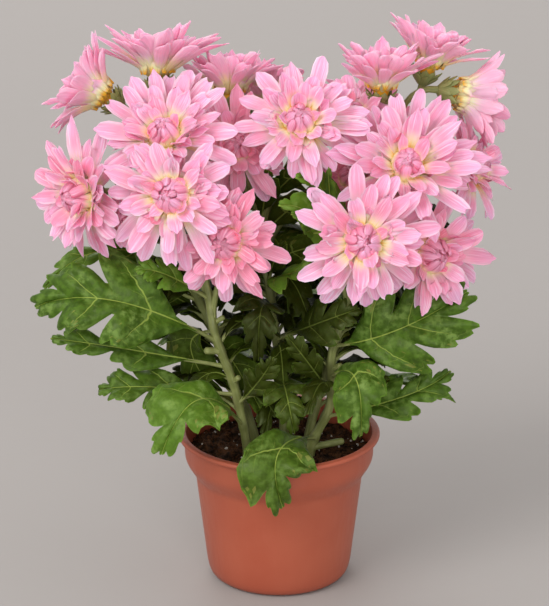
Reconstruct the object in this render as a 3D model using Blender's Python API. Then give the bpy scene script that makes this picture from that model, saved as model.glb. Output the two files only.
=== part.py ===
# A pot chrysanthemum: plastic pot, potting soil, five leafy stems and the blooms that they carry.
# Tables and shapes are in millimetres and the objects are made in metres, +Z up.
# The origin is the middle of the pot's underside, and the front of the plant looks to -Y.
import math
import random

import bmesh
import bpy
from mathutils import Vector
from mathutils.bvhtree import BVHTree
from mathutils.geometry import delaunay_2d_cdt

MM = 0.001
GAP = 0.3                 # clearance between pieces that touch
UP = Vector((0.0, 0.0, 1.0))

# Pot
POT_SIDES = 28
POT_HEIGHT = 91.0
POT_WALL = 1.3
FLOOR = 1.8
LIP_RADIUS = 60.0
LIP_HEIGHT = 3.0
LIP_EDGES = (0.4, 0.9, 1.4)   # lip's lower bevel, its upper outer bevel and its inner bevel
BAND_RADIUS = 56.2
BAND_FOOT = 74.5          # height where the band ends and the chamfer begins
WALL_RISE = 0.4           # rise of the chamfer's inner corners for each millimetre of wall
NECK_RADIUS = 49.6        # body under the chamfer
NECK_HEIGHT = 64.5
FOOT_RADIUS = 42.4        # body just above its rounded foot
FOOT_ROUND = 7.0
FOOT_STEPS = 2
DRAIN_HOLES = 4
DRAIN_RADIUS = 4.0
DRAIN_CIRCLE = 24.0

# Soil
SOIL_SIDES = 14
SOIL_TOP = 78.0
SOIL_RINGS = (18.0, 36.0)
SOIL_LUMP = 1.1
HOLE_SIDES = 6
HOLE_SLACK = 0.4
STEM_FOOT = 58.0          # height of the stems' lower ends in the soil
STEM_UPRIGHT = 6.0        # how far above the soil the stems rise straight

# Stems: root on the soil, then the points of the main stalk above it
STEM_SIDES = 6
STEM_RADIUS = 2.9
STEM_TOP_RADIUS = 2.1
BRANCH_SIDES = 3
BRANCH_RADIUS = 2.0
BRANCH_STEPS = 3
BRANCH_REINS = (0.35, 0.4)    # how long a branch keeps the stalk's and the bloom's direction
STEMS = {
    "stem_front_left": ((-19, -10), ((-26, -12, 122), (-37, -13, 155), (-42, -10, 184), (-50, -8, 222))),
    "stem_back_left": ((-15, 10), ((-32, 14, 130), (-56, 12, 190), (-72, 20, 232))),
    "stem_centre": ((3, 12), ((0, 16, 130), (-8, 18, 190), (-12, 22, 228))),
    "stem_front_right": ((19, -10), ((30, -12, 112), (31, -15, 146), (38, -14, 172), (46, -12, 200))),
    "stem_back_right": ((18, 12), ((34, 16, 140), (56, 16, 190), (68, 20, 232))),
}

# Blooms: stem, height where the branch leaves the stalk, centre, facing azimuth and elevation, reach,
# petals outer/middle/inner, and how much the petals rise because the bloom is less open.
# Azimuth 0 faces the front, 90 faces +X.
BLOOMS = {
    "bloom_top_left": ("stem_back_left", 215, (-70, 25, 304), (-168, 72), 43, (10, 6, 3), 36),
    "bloom_far_left": ("stem_back_left", 190, (-101, 22, 291), (-100, 30), 39, (8, 6, 3), 44),
    "bloom_upper_left": ("stem_front_left", 205, (-64, -22, 279), (-12, 46), 44, (10, 8, 4), 12),
    "bloom_left": ("stem_front_left", 180, (-60, -54, 255), (-12, 22), 43, (10, 8, 4), 0),
    "bloom_left_side": ("stem_back_left", 175, (-111, -18, 244), (-42, 6), 42, (10, 6, 3), 8),
    "bloom_half_open": ("stem_front_left", 170, (-86, -34, 235), (-24, 8), 20, (5, 4, 1), 14),
    "bloom_middle": ("stem_front_left", 160, (-30, -54, 228), (-14, 12), 38, (9, 7, 4), 0),
    "bloom_inner_left": ("stem_centre", 205, (-25, 4, 266), (8, 30), 36, (8, 6, 3), 10),
    "bloom_top_middle": ("stem_centre", 215, (-29, 32, 291), (168, 74), 39, (8, 6, 3), 34),
    "bloom_centre": ("stem_centre", 200, (12, -16, 286), (-4, 38), 41, (9, 7, 4), 10),
    "bloom_top": ("stem_back_right", 215, (59, 14, 299), (160, 80), 39, (8, 6, 3), 36),
    "bloom_top_right": ("stem_back_right", 222, (87, 42, 304), (128, 68), 39, (8, 6, 3), 34),
    "bloom_far_right": ("stem_back_right", 205, (104, 30, 290), (100, -14), 40, (9, 6, 2), 42),
    "bloom_right": ("stem_back_right", 195, (72, -22, 261), (8, 38), 49, (11, 9, 4), 12),
    "bloom_lower_right": ("stem_front_right", 186, (47, -60, 230), (3, 18), 44, (10, 8, 4), 0),
    "bloom_low_right": ("stem_front_right", 172, (84, -36, 214), (34, 12), 42, (9, 7, 4), 2),
    "bloom_inner_right": ("stem_centre", 185, (42, 8, 281), (0, 52), 30, (7, 5, 2), 12),
    "bloom_shaded": ("stem_front_right", 192, (42, 0, 247), (0, 45), 26, (7, 4, 2), 10),
    "bloom_right_side": ("stem_back_right", 185, (110, 14, 250), (60, 28), 34, (8, 5, 3), 6),
    "bloom_back_left": ("stem_back_left", 200, (-66, 58, 258), (-152, 30), 38, (8, 6, 3), 4),
    "bloom_back": ("stem_centre", 195, (-8, 62, 274), (176, 34), 36, (8, 5, 3), 4),
    "bloom_back_right": ("stem_back_right", 200, (54, 62, 262), (158, 30), 38, (8, 6, 3), 4),
}
CORE_SIDES = 6
CORE_PROFILE = ((0, -6), (6.5, -6), (10.6, -1), (8.6, 7), (0, 10.5))
CALYX_SIDES = 5
CALYX_PROFILE = ((0, -14), (4.6, -11), (8.2, -6 - GAP), (0, -6 - GAP))
CALYX_STALK_END = -9.0
FULL_REACH = 42.0         # reach at which the core and the petals have their full width
LEAST_SCALE = 0.45
# Petal layers: root radius, root height, share of the reach, rise, droop, half width
LAYERS = (
    (4.5, -2.5, 1.00, 10.0, 26.0, 5.4),
    (4.5, 0.5, 0.80, 33.0, 18.0, 4.9),
    (4.5, 3.0, 0.52, 58.0, 14.0, 4.0),
)
# Stations of a petal as shares of its length and half width; the last one is its tip edge
OUTER_STATIONS = ((0.0, 0.26), (0.42, 0.78), (0.82, 1.0), (1.0, 0.46))
INNER_STATIONS = ((0.0, 0.30), (0.72, 1.0), (1.0, 0.46))
STEEPEST = 76.0           # steepest rise of a petal
PETAL_CUP = 0.14
PETAL_KEEL = 0.7
PETAL_HANG = 26.0         # extra droop of outer petals that point down
PETAL_SPREAD = 10.0       # seeded differences in degrees
PETAL_LENGTHS = (0.76, 1.06)
# Ways to bend a petal clear: change of rise, change of azimuth, share of its length
PETAL_NUDGES = (
    (0, 0, 1.0), (7, 0, 1.0), (-7, 0, 1.0), (0, 8, 1.0), (0, -8, 1.0), (14, 0, 1.0), (-14, 0, 1.0),
    (10, 8, 0.92), (10, -8, 0.92), (22, 0, 0.92), (-22, 0, 0.92), (0, 0, 0.85), (14, 12, 0.85),
    (14, -12, 0.85), (30, 0, 0.85), (0, 0, 0.72), (20, 0, 0.72), (-14, 0, 0.72), (38, 0, 0.7),
)

# Leaves: stem, height where the stalk leaves it, a point on the midrib, tip, facing, reach, lobe pairs
LEAVES = (
    ("stem_front_left", 152, (-90, -34, 184), (-132, -31, 183), (-8, 34), 36, 2),
    ("stem_back_left", 186, (-100, 8, 201), (-134, -2, 184), (0, 62), 15, 2),
    ("stem_front_left", 136, (-96, -20, 151), (-131, -20, 156), (-20, 48), 16, 2),
    ("stem_front_left", 118, (-75, -30, 130), (-102, -32, 129), (0, 55), 21, 2),
    ("stem_front_left", 98, (-44, -48, 130), (-63, -66, 114), (-12, 46), 30, 2),
    ("stem_front_right", 90, (1, -58, 99), (-1, -72, 75), (0, 40), 34, 2),
    ("stem_front_right", 150, (68, -38, 164), (106, -40, 181), (8, 26), 42, 2),
    ("stem_front_right", 104, (70, -25, 121), (97, -22, 134), (20, 52), 20, 2),
    ("stem_front_right", 130, (43, -48, 144), (47, -60, 122), (10, 32), 22, 2),
    ("stem_centre", 175, (4, -18, 195), (24, -28, 203), (0, 60), 15, 2),
    ("stem_front_left", 178, (-66, -28, 199), (-80, -33, 203), (-10, 50), 15, 2),
    ("stem_back_left", 168, (-76, -2, 186), (-82, -8, 206), (-70, 10), 11, 1),
    ("stem_centre", 160, (-10, -26, 178), (-12, -34, 156), (0, 30), 19, 2),
    ("stem_front_right", 184, (20, -26, 226), (-2, -42, 246), (0, 40), 16, 2),
    ("stem_front_right", 176, (31, -27, 230), (28, -38, 266), (-20, 20), 10, 1),
    ("stem_centre", 122, (4, -34, 128), (8, -46, 112), (0, 45), 17, 2),
    ("stem_front_left", 112, (-8, -34, 136), (2, -42, 152), (20, 40), 18, 2),
    ("stem_front_right", 120, (12, -34, 150), (-2, -42, 168), (-20, 24), 16, 2),
    ("stem_centre", 142, (26, -22, 168), (44, -30, 178), (0, 34), 18, 2),
)
# Leaves at the sides and the back: lowest joint, number, azimuth about which they turn to and fro
AROUND = {
    "stem_back_left": (100, 3, -150.0),
    "stem_centre": (96, 4, 178.0),
    "stem_back_right": (100, 3, 128.0),
}
AROUND_STEP = 24.0
AROUND_TURN = 34.0
AROUND_LENGTH = (74.0, 58.0)
AROUND_REACH = 24.0
AROUND_ARCH = (16.0, 6.0)     # how far the middle and the tip stand above the stalk's start
AROUND_FACING = 62.0
# Small leaves that fill the middle of the plant: lowest joint, number, azimuth of the first
INSIDE = {
    "stem_front_left": (114, 2, 60.0),
    "stem_centre": (104, 2, -15.0),
    "stem_front_right": (122, 2, -20.0),
}
INSIDE_STEP = 17.0
INSIDE_TURN = 137.5           # each one is turned by the golden angle from the one below
INSIDE_LENGTH = 46.0
INSIDE_REACH = 18.0
INSIDE_ARCH = (9.0, -4.0)
INSIDE_FACING = 48.0
# Form of every leaf
STALK_SHARE = 0.18        # share of the midrib that is bare stalk
STALK_STRAIGHT = 0.8      # share of the stalk whose sides run straight
TIP_SHARE = 0.82          # where the end lobe begins
STALK_HALF = 1.3
STALK_THICK = 2.2
BLADE_THICK = 0.9
SINUS = 0.44              # width left beside the midrib between lobes, as a share of the reach
LOBE_STEPS = (-1.0, -0.35, 0.45)
LOBE_REACH = (0.78, 1.0, 0.86)   # of the lobe pairs, the last one next to the end lobe
LOBE_STAGGER = 0.08       # shift of the left lobes against the right ones
END_LOBE = ((0.83, 0.40), (0.91, 0.60), (1.0, 0.26))   # share along the midrib, share of the reach
SWEEP = (66.0, 22.0)      # angle of side veins to the midrib, at the base and the tip
LEAF_WAVE = 0.12          # height of the waves at the edge, as a share of the reach
LEAF_WAVES = 17.0         # waves along the leaf, in radians
WAVE_SHIFT = 1.3          # between the two sides, in radians
LEAF_FOLD = 0.16          # slope of each half up from the midrib
LEAF_ROLL = 0.35          # how far the edges roll back down
STALK_BLEND = 0.6         # share of the stalk after which it thins into the blade
LEAF_DRIFTS = (0, 8, -8, 15, -15, 23, -23, 32, -32, 40)
LEAF_SIZES = (1.0, 0.88, 0.76)
RIB_STEPS = 8             # straight steps that measure a midrib
RIB_PROBE = 0.01          # share of the midrib over which its direction is taken

POT_COLOUR = (0.391, 0.102, 0.058)
SOIL_COLOUR = (0.030, 0.018, 0.012)
STEM_COLOUR = (0.090, 0.150, 0.035)
PETAL_COLOUR = (0.850, 0.300, 0.400)
SHARP_ANGLE = 35.0        # edges sharper than this keep a crease in the shading


def clear_scene():
    for item in list(bpy.data.objects):
        bpy.data.objects.remove(item, do_unlink=True)


def make_material(name, colour, roughness):
    material = bpy.data.materials.new(name)
    material.use_nodes = True
    shader = material.node_tree.nodes["Principled BSDF"]
    shader.inputs["Base Color"].default_value = (*colour, 1.0)
    shader.inputs["Roughness"].default_value = roughness
    shader.inputs["Metallic"].default_value = 0.0
    return material


def make_object(name, shape, material=None):
    points, faces = shape
    mesh = bpy.data.meshes.new(name)
    mesh.from_pydata([tuple(Vector(p) * MM) for p in points], [], faces)
    work = bmesh.new()
    work.from_mesh(mesh)
    bmesh.ops.recalc_face_normals(work, faces=work.faces)
    work.to_mesh(mesh)
    work.free()
    item = bpy.data.objects.new(name, mesh)
    bpy.context.scene.collection.objects.link(item)
    if material:
        mesh.materials.append(material)
    return item


def join(name, shapes, material):
    """One closed body from overlapping shapes: a Boolean union on a collection, applied."""
    body = make_object(name, shapes[0])
    group = bpy.data.collections.new(name + "_repeats")
    bpy.context.scene.collection.children.link(group)
    for index, shape in enumerate(shapes[1:]):
        repeat = make_object(f"{name}_repeat_{index}", shape)
        bpy.context.scene.collection.objects.unlink(repeat)
        group.objects.link(repeat)
    modifier = body.modifiers.new("join", "BOOLEAN")
    modifier.operation = "UNION"
    modifier.operand_type = "COLLECTION"
    modifier.collection = group
    modifier.solver = "EXACT"
    modifier.use_self = True
    view = bpy.context.evaluated_depsgraph_get()
    joined = bpy.data.meshes.new_from_object(body.evaluated_get(view))
    body.modifiers.clear()
    body.data = joined
    for repeat in list(group.objects):
        bpy.data.objects.remove(repeat, do_unlink=True)
    bpy.data.collections.remove(group)
    joined.materials.clear()
    joined.materials.append(material)
    return body


def cut(body, shape):
    """Leaves a Boolean cut on the body, made by a hidden wire object."""
    cutter = make_object(body.name + "_cutter", shape)
    cutter.hide_render = True
    cutter.display_type = "WIRE"
    modifier = body.modifiers.new("cut", "BOOLEAN")
    modifier.operation = "DIFFERENCE"
    modifier.object = cutter
    modifier.solver = "EXACT"


def ring_faces(start, sides):
    """Quads between a ring of points and the ring after it."""
    return [(start + i, start + (i + 1) % sides, start + sides + (i + 1) % sides, start + sides + i)
            for i in range(sides)]


def turned(profile, sides, centre=Vector(), axes=(Vector((1, 0, 0)), Vector((0, 1, 0)), UP)):
    """A profile of (radius, height) turned round the third axis, from one pole to the other."""
    points, faces, starts = [], [], []
    for radius, height in profile:
        starts.append(len(points))
        if radius == 0:
            points.append(centre + axes[2] * height)
            continue
        for i in range(sides):
            turn = 2 * math.pi * i / sides
            spoke = axes[0] * math.cos(turn) + axes[1] * math.sin(turn)
            points.append(centre + spoke * radius + axes[2] * height)
    last = len(profile) - 1
    for row in range(last):
        low, high = starts[row], starts[row + 1]
        if row == 0:
            faces += [(low, high + (i + 1) % sides, high + i) for i in range(sides)]
        elif row == last - 1:
            faces += [(low + i, low + (i + 1) % sides, high) for i in range(sides)]
        else:
            faces += ring_faces(low, sides)
    return points, faces


def carried(rows):
    """A solid from rows of like-numbered points, with a face on each end."""
    sides = len(rows[0])
    points = [point for row in rows for point in row]
    faces = [tuple(range(sides))[::-1]]
    for row in range(len(rows) - 1):
        faces += ring_faces(row * sides, sides)
    faces.append(tuple(len(points) - sides + i for i in range(sides)))
    return points, faces


def strap(points):
    """A three-cornered section of left, right and keel carried along a petal, down to a tip edge."""
    points = points[:-1]
    rows = len(points) // 3
    faces = [(2, 1, 0)]
    for row in range(rows - 1):
        faces += ring_faces(3 * row, 3)
    left, right, keel = 3 * rows - 3, 3 * rows - 2, 3 * rows - 1
    end_left, end_right = 3 * rows, 3 * rows + 1
    faces += [(left, right, end_right, end_left), (right, keel, end_right)]
    faces += [(keel, left, end_left), (keel, end_left, end_right)]
    return points, faces


def tube(path, radii, sides):
    """A round stalk along a path, its section carried without twist."""
    rows = []
    across = Vector((1, 0, 0))
    for index, place in enumerate(path):
        before = path[max(index - 1, 0)]
        after = path[min(index + 1, len(path) - 1)]
        ahead = (after - before).normalized()
        across = (across - ahead * across.dot(ahead)).normalized()
        beside = ahead.cross(across)
        row = []
        for i in range(sides):
            turn = 2 * math.pi * i / sides
            spoke = across * math.cos(turn) + beside * math.sin(turn)
            row.append(place + spoke * radii[index])
        rows.append(row)
    return carried(rows)


def bezier(a, b, c, d, t):
    s = 1 - t
    return a * s ** 3 + b * 3 * s * s * t + c * 3 * s * t * t + d * t ** 3


def direction(azimuth, elevation):
    """Unit vector, azimuth 0 to the front and 90 to +X."""
    turn, tilt = math.radians(azimuth), math.radians(elevation)
    return Vector((math.cos(tilt) * math.sin(turn), -math.cos(tilt) * math.cos(turn), math.sin(tilt)))


def bloom_axes(azimuth, elevation):
    """Right, top and facing axes of a bloom."""
    face = direction(azimuth, elevation)
    right = direction(azimuth + 90, 0)
    return right, face.cross(right), face


def tree_of(shape):
    points, faces = shape
    return BVHTree.FromPolygons([tuple(p) for p in points], faces)


def is_clear(shape, trees):
    probe = tree_of(shape)
    return not any(probe.overlap(tree) for tree in trees)


def wall_profile(inset):
    """Radii and heights of the pot's wall from the foot up to the band, moved in by the inset."""
    rows = []
    corner = FOOT_RADIUS - FOOT_ROUND
    bend = FOOT_ROUND - inset
    for step in range(FOOT_STEPS + 1):
        turn = math.radians(90.0 * step / FOOT_STEPS)
        rows.append((corner + bend * math.sin(turn), FOOT_ROUND - bend * math.cos(turn)))
    rows.append((NECK_RADIUS - inset, NECK_HEIGHT + inset * WALL_RISE))
    rows.append((BAND_RADIUS - inset, BAND_FOOT + inset * WALL_RISE))
    return rows


def plug(radius, low, high, place):
    """A plain upright cylinder that cuts a hole."""
    return turned(((0, low), (radius, low), (radius, high), (0, high)), HOLE_SIDES, place)


def make_pot(material):
    profile = [(0, 0)] + wall_profile(0)
    lip_foot = POT_HEIGHT - LIP_HEIGHT
    inside = BAND_RADIUS - POT_WALL
    profile += [(BAND_RADIUS, lip_foot), (LIP_RADIUS, lip_foot + LIP_EDGES[0])]
    profile += [(LIP_RADIUS - LIP_EDGES[1], POT_HEIGHT), (inside + LIP_EDGES[2], POT_HEIGHT)]
    profile += wall_profile(POT_WALL)[:0:-1]
    profile += [(FOOT_RADIUS - FOOT_ROUND, FLOOR), (0, FLOOR)]
    pot = make_object("pot", turned(profile, POT_SIDES), material)
    for index in range(DRAIN_HOLES):
        turn = 2 * math.pi * (index + 0.5) / DRAIN_HOLES
        place = Vector((math.cos(turn), math.sin(turn), 0)) * DRAIN_CIRCLE
        cut(pot, plug(DRAIN_RADIUS, -FLOOR, 2 * FLOOR, place))
    return pot


def soil_height(x, y):
    """Crumbly top: the sum of two crossed waves."""
    lumps = math.sin(x * 0.21 + 1.0) * math.cos(y * 0.17) + 0.6 * math.sin(x * 0.47 - y * 0.39)
    return SOIL_TOP + SOIL_LUMP * lumps


def make_soil(material):
    inset = POT_WALL + GAP
    foot, rim = FOOT_RADIUS - FOOT_ROUND, BAND_RADIUS - inset
    rows = [(0, FLOOR + GAP), (foot, FLOOR + GAP)] + wall_profile(inset)[1:] + [(rim, SOIL_TOP)]
    rows += [(radius, SOIL_TOP) for radius in reversed(SOIL_RINGS)] + [(0, SOIL_TOP)]
    points, faces = turned(rows, SOIL_SIDES)
    for point in points:
        if point.z == SOIL_TOP:
            point.z = soil_height(point.x, point.y)
    soil = make_object("soil", (points, faces), material)
    for root, _ in STEMS.values():
        place = Vector((root[0], root[1], 0))
        cut(soil, plug(STEM_RADIUS + HOLE_SLACK, STEM_FOOT - GAP, SOIL_TOP + STEM_UPRIGHT, place))
    return soil


def stalk_path(name):
    root, points = STEMS[name]
    foot = [Vector((root[0], root[1], STEM_FOOT)), Vector((root[0], root[1], SOIL_TOP + STEM_UPRIGHT))]
    return foot + [Vector(point) for point in points]


def stalk_point(name, height):
    """Place and direction of a stem's main stalk at a height."""
    path = stalk_path(name)
    for low, high in zip(path, path[1:]):
        if low.z <= height <= high.z:
            share = (height - low.z) / (high.z - low.z)
            return low.lerp(high, share), (high - low).normalized()
    return path[-1], (path[-1] - path[-2]).normalized()


def make_stalk(name):
    path = stalk_path(name)
    last = len(path) - 1
    radii = [STEM_RADIUS + (STEM_TOP_RADIUS - STEM_RADIUS) * i / last for i in range(last + 1)]
    return tube(path, radii, STEM_SIDES)


def make_branch(bloom):
    """Branch from the main stalk to the calyx, arriving along the way the bloom faces."""
    stem, height, centre, facing, _, _, _ = bloom
    face = direction(*facing)
    start, ahead = stalk_point(stem, height)
    end = Vector(centre) + face * CALYX_STALK_END
    span = (end - start).length
    reins = start + ahead * span * BRANCH_REINS[0], end - face * span * BRANCH_REINS[1]
    path = [bezier(start, *reins, end, step / BRANCH_STEPS) for step in range(BRANCH_STEPS + 1)]
    return tube(path, [BRANCH_RADIUS] * len(path), BRANCH_SIDES)


def bloom_scale(reach):
    return min(1.0, LEAST_SCALE + (1 - LEAST_SCALE) * reach / FULL_REACH)


def make_calyx(bloom):
    _, _, centre, facing, reach, _, _ = bloom
    scale = bloom_scale(reach)
    profile = [(radius * scale, height) for radius, height in CALYX_PROFILE]
    return turned(profile, CALYX_SIDES, Vector(centre), bloom_axes(*facing))


def make_core(bloom):
    _, _, centre, facing, reach, _, _ = bloom
    scale = bloom_scale(reach)
    base = CORE_PROFILE[0][1]
    profile = [(radius * scale, base + (height - base) * scale) for radius, height in CORE_PROFILE]
    return turned(profile, CORE_SIDES, Vector(centre), bloom_axes(*facing))


def make_petal(bloom, petal, nudge=(0, 0, 1.0), grow=0.0):
    """A strap whose path leaves the core at its rise and bends back evenly by its droop."""
    _, _, centre, facing, reach, _, closed = bloom
    layer, azimuth, rise, length_share = petal
    root_radius, root_height, layer_share, _, droop, half_width = LAYERS[layer]
    right, top, face = bloom_axes(*facing)
    scale = bloom_scale(reach)
    turn = math.radians(azimuth + nudge[1])
    out = right * math.cos(turn) + top * math.sin(turn)
    side = face.cross(out)
    if layer == 0:
        droop = droop + PETAL_HANG * max(0.0, -out.z)
    start = math.radians(min(rise + closed, STEEPEST) + nudge[0])
    bend = math.radians(droop)
    length = (reach - root_radius) * layer_share * length_share * nudge[2]
    root = Vector(centre) + (out * root_radius + face * root_height) * scale
    stations = OUTER_STATIONS if layer == 0 else INNER_STATIONS
    points = []
    for station, width_share in stations:
        along = station * (1 + grow / length)
        angle = start - bend * along
        ahead = length * (math.sin(start) - math.sin(angle)) / bend
        lift = length * (math.cos(angle) - math.cos(start)) / bend
        place = root + out * ahead + face * lift
        above = face * math.cos(angle) - out * math.sin(angle)
        half = half_width * scale * width_share + grow
        edge = above * (PETAL_CUP * half + grow)
        keel = above * (PETAL_KEEL + grow)
        points += [place - side * half + edge, place + side * half + edge, place - keel]
    return strap(points)


def petal_list(name, counts):
    """Petals of a bloom, layer by layer, evenly round it with small seeded differences."""
    draw = random.Random(name)
    petals = []
    for layer, count in enumerate(counts):
        offset = draw.uniform(0, 360)
        for index in range(count):
            azimuth = offset + 360 * index / count + draw.uniform(-PETAL_SPREAD, PETAL_SPREAD)
            rise = LAYERS[layer][3] + draw.uniform(-PETAL_SPREAD, PETAL_SPREAD)
            petals.append((layer, azimuth, rise, draw.uniform(*PETAL_LENGTHS)))
    return petals


def bloom_shapes(name, trees):
    """Core and petals; each petal is bent clear of what stands there already."""
    bloom = BLOOMS[name]
    shapes = [make_core(bloom)]
    for petal in petal_list(name, bloom[5]):
        for nudge in PETAL_NUDGES:
            if is_clear(make_petal(bloom, petal, nudge, GAP), trees):
                shapes.append(make_petal(bloom, petal, nudge))
                break
    return shapes


def lobe_bump(offset):
    return 1 - offset ** 4


def leaf_side(lobes, reach, length, sign):
    """Outline of one side of a flat leaf from base to tip: swept rays whose reach rises in lobes."""
    samples = []
    step = (TIP_SHARE - STALK_SHARE) / lobes
    for lobe in range(lobes):
        share = LOBE_REACH[lobe - lobes]
        for offset in LOBE_STEPS[1 if lobe == 0 else 0:]:
            along = STALK_SHARE + step * (lobe + 0.5 + 0.5 * offset + LOBE_STAGGER * sign)
            samples.append((along, SINUS + (share - SINUS) * lobe_bump(offset)))
    samples += END_LOBE
    straight = STALK_SHARE * STALK_STRAIGHT * length
    outline = [(0.0, sign * STALK_HALF), (straight, sign * STALK_HALF)]
    for along, share in samples:
        sweep = math.radians(SWEEP[0] + (SWEEP[1] - SWEEP[0]) * along)
        ray = share * reach
        outline.append((along * length + ray * math.cos(sweep), sign * ray * math.sin(sweep)))
    return outline


def leaf_rib(start, middle, tip):
    """Quadratic curve through the start, the middle and the tip."""
    pull = middle * 2 - (start + tip) * 0.5
    return lambda t: start * (1 - t) ** 2 + pull * 2 * t * (1 - t) + tip * t * t


def make_leaf(start, middle, tip, facing, reach, lobes, grow=0.0):
    """A flat lobed outline split into triangles, laid along the rib, folded and waved."""
    rib = leaf_rib(start, middle, tip)
    steps = [rib(i / RIB_STEPS) for i in range(RIB_STEPS + 1)]
    length = sum((b - a).length for a, b in zip(steps, steps[1:]))
    right = leaf_side(lobes, reach, length, 1)
    left = leaf_side(lobes, reach, length, -1)
    loop = right + left[::-1]
    ribs = [(length * (STALK_SHARE + (TIP_SHARE - STALK_SHARE) * i / lobes), 0.0) for i in range(lobes + 1)]
    flat = [Vector(p) for p in loop + ribs]
    edge = [(i, (i + 1) % len(loop)) for i in range(len(loop))]
    inner = [(len(loop) + i, len(loop) + i + 1) for i in range(lobes)]
    flat, _, triangles, _, _, _ = delaunay_2d_cdt(flat, edge + inner, [], 1, 1e-5)
    face = direction(*facing)
    upper, lower = [], []
    for x, y in flat:
        t = x / length
        ahead = (rib(t + RIB_PROBE) - rib(t - RIB_PROBE)).normalized()
        normal = (face - ahead * face.dot(ahead)).normalized()
        side = ahead.cross(normal)
        spread = abs(y) / reach
        wave = math.sin(t * LEAF_WAVES + (WAVE_SHIFT if y > 0 else 0.0)) * LEAF_WAVE * reach * spread
        lift = (LEAF_FOLD - LEAF_ROLL * spread) * abs(y) + wave
        place = rib(t) + side * y + normal * lift
        blade = min(1.0, max(0.0, t / STALK_SHARE - STALK_BLEND))
        half = 0.5 * (STALK_THICK + (BLADE_THICK - STALK_THICK) * blade) + grow
        upper.append(place + normal * half)
        lower.append(place - normal * half)
    count = len(upper)
    faces = [tuple(t) for t in triangles] + [tuple(count + i for i in t)[::-1] for t in triangles]
    used = {(a, b) for t in triangles for a, b in zip(t, t[1:] + t[:1])}
    for a, b in used:
        if (b, a) not in used:
            faces.append((b, a, count + a))
            faces.append((b, count + a, count + b))
    return upper + lower, faces


def around_leaves():
    """Leaves of the sides and the back, from the lowest up, each turned from the last."""
    leaves = []
    for stem, (lowest, count, azimuth) in AROUND.items():
        for index in range(count):
            height = lowest + AROUND_STEP * index
            share = index / (count - 1)
            length = AROUND_LENGTH[0] + (AROUND_LENGTH[1] - AROUND_LENGTH[0]) * share
            turn = azimuth + AROUND_TURN * (1 if index % 2 else -1)
            out = direction(turn, 0)
            start, _ = stalk_point(stem, height)
            middle = start + out * length * 0.5 + UP * AROUND_ARCH[0]
            tip = start + out * length + UP * AROUND_ARCH[1]
            leaves.append((stem, height, middle, tip, (turn, AROUND_FACING), AROUND_REACH, 2))
    return leaves


def inside_leaves():
    """Small leaves with one pair of lobes that fill the middle of the plant."""
    leaves = []
    for stem, (lowest, count, azimuth) in INSIDE.items():
        for index in range(count):
            height = lowest + INSIDE_STEP * index
            turn = azimuth + INSIDE_TURN * index
            out = direction(turn, 0)
            start, _ = stalk_point(stem, height)
            middle = start + out * INSIDE_LENGTH * 0.5 + UP * INSIDE_ARCH[0]
            tip = start + out * INSIDE_LENGTH + UP * INSIDE_ARCH[1]
            leaves.append((stem, height, middle, tip, (turn, INSIDE_FACING), INSIDE_REACH, 1))
    return leaves


def bent_leaf(leaf, trees):
    """The leaf raised or lowered until it is clear of the other nodes, or None."""
    stem, height, middle, tip, facing, reach, lobes = leaf
    start, _ = stalk_point(stem, height)
    for size in LEAF_SIZES:
        for drift in LEAF_DRIFTS:
            lift = UP * drift
            bent_middle = start.lerp(Vector(middle) + lift * 0.5, size)
            bent_tip = start.lerp(Vector(tip) + lift, size)
            spec = (start, bent_middle, bent_tip, facing, reach * size, lobes)
            if is_clear(make_leaf(*spec, GAP), trees):
                return make_leaf(*spec)
    return None


def make_plant(green, pink):
    """Stalks and branches first, then leaves, then petals, each kept clear of the other nodes."""
    stems = {name: [make_stalk(name)] for name in STEMS}
    cores = {}
    for name, bloom in BLOOMS.items():
        stems[bloom[0]].append(make_branch(bloom))
        stems[bloom[0]].append(make_calyx(bloom))
        cores[name] = tree_of(make_core(bloom))
    holder = [tree_of(shape_of(bpy.data.objects[name])) for name in ("pot", "soil")]
    for leaf in list(LEAVES) + around_leaves() + inside_leaves():
        others = [tree_of(shape) for stem, shapes in stems.items() if stem != leaf[0] for shape in shapes]
        shape = bent_leaf(leaf, others + list(cores.values()) + holder)
        if shape:
            stems[leaf[0]].append(shape)
    green_trees = [tree_of(shape) for shapes in stems.values() for shape in shapes]
    for name, shapes in stems.items():
        join(name, shapes, green)
    petal_trees = {}
    for name in BLOOMS:
        others = [tree for other, tree in cores.items() if other != name]
        others += [tree for other in petal_trees for tree in petal_trees[other]]
        shapes = bloom_shapes(name, green_trees + others)
        petal_trees[name] = [tree_of(shape) for shape in shapes[1:]]
        join(name, shapes, pink)


def shape_of(item):
    """Points in millimetres and faces of an object's plain mesh."""
    points = [vertex.co / MM for vertex in item.data.vertices]
    return points, [tuple(face.vertices) for face in item.data.polygons]


def main():
    clear_scene()
    make_pot(make_material("terracotta_plastic", POT_COLOUR, 0.42))
    make_soil(make_material("potting_soil", SOIL_COLOUR, 0.95))
    green = make_material("leaf_and_stem", STEM_COLOUR, 0.5)
    pink = make_material("petal", PETAL_COLOUR, 0.6)
    make_plant(green, pink)
    for item in bpy.data.objects:
        if not item.hide_render:
            item.data.shade_smooth()
            item.data.set_sharp_from_angle(angle=math.radians(SHARP_ANGLE))


main()
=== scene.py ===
import math
import random

import bpy
import numpy as np
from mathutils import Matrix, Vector
from mathutils.bvhtree import BVHTree


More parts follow.
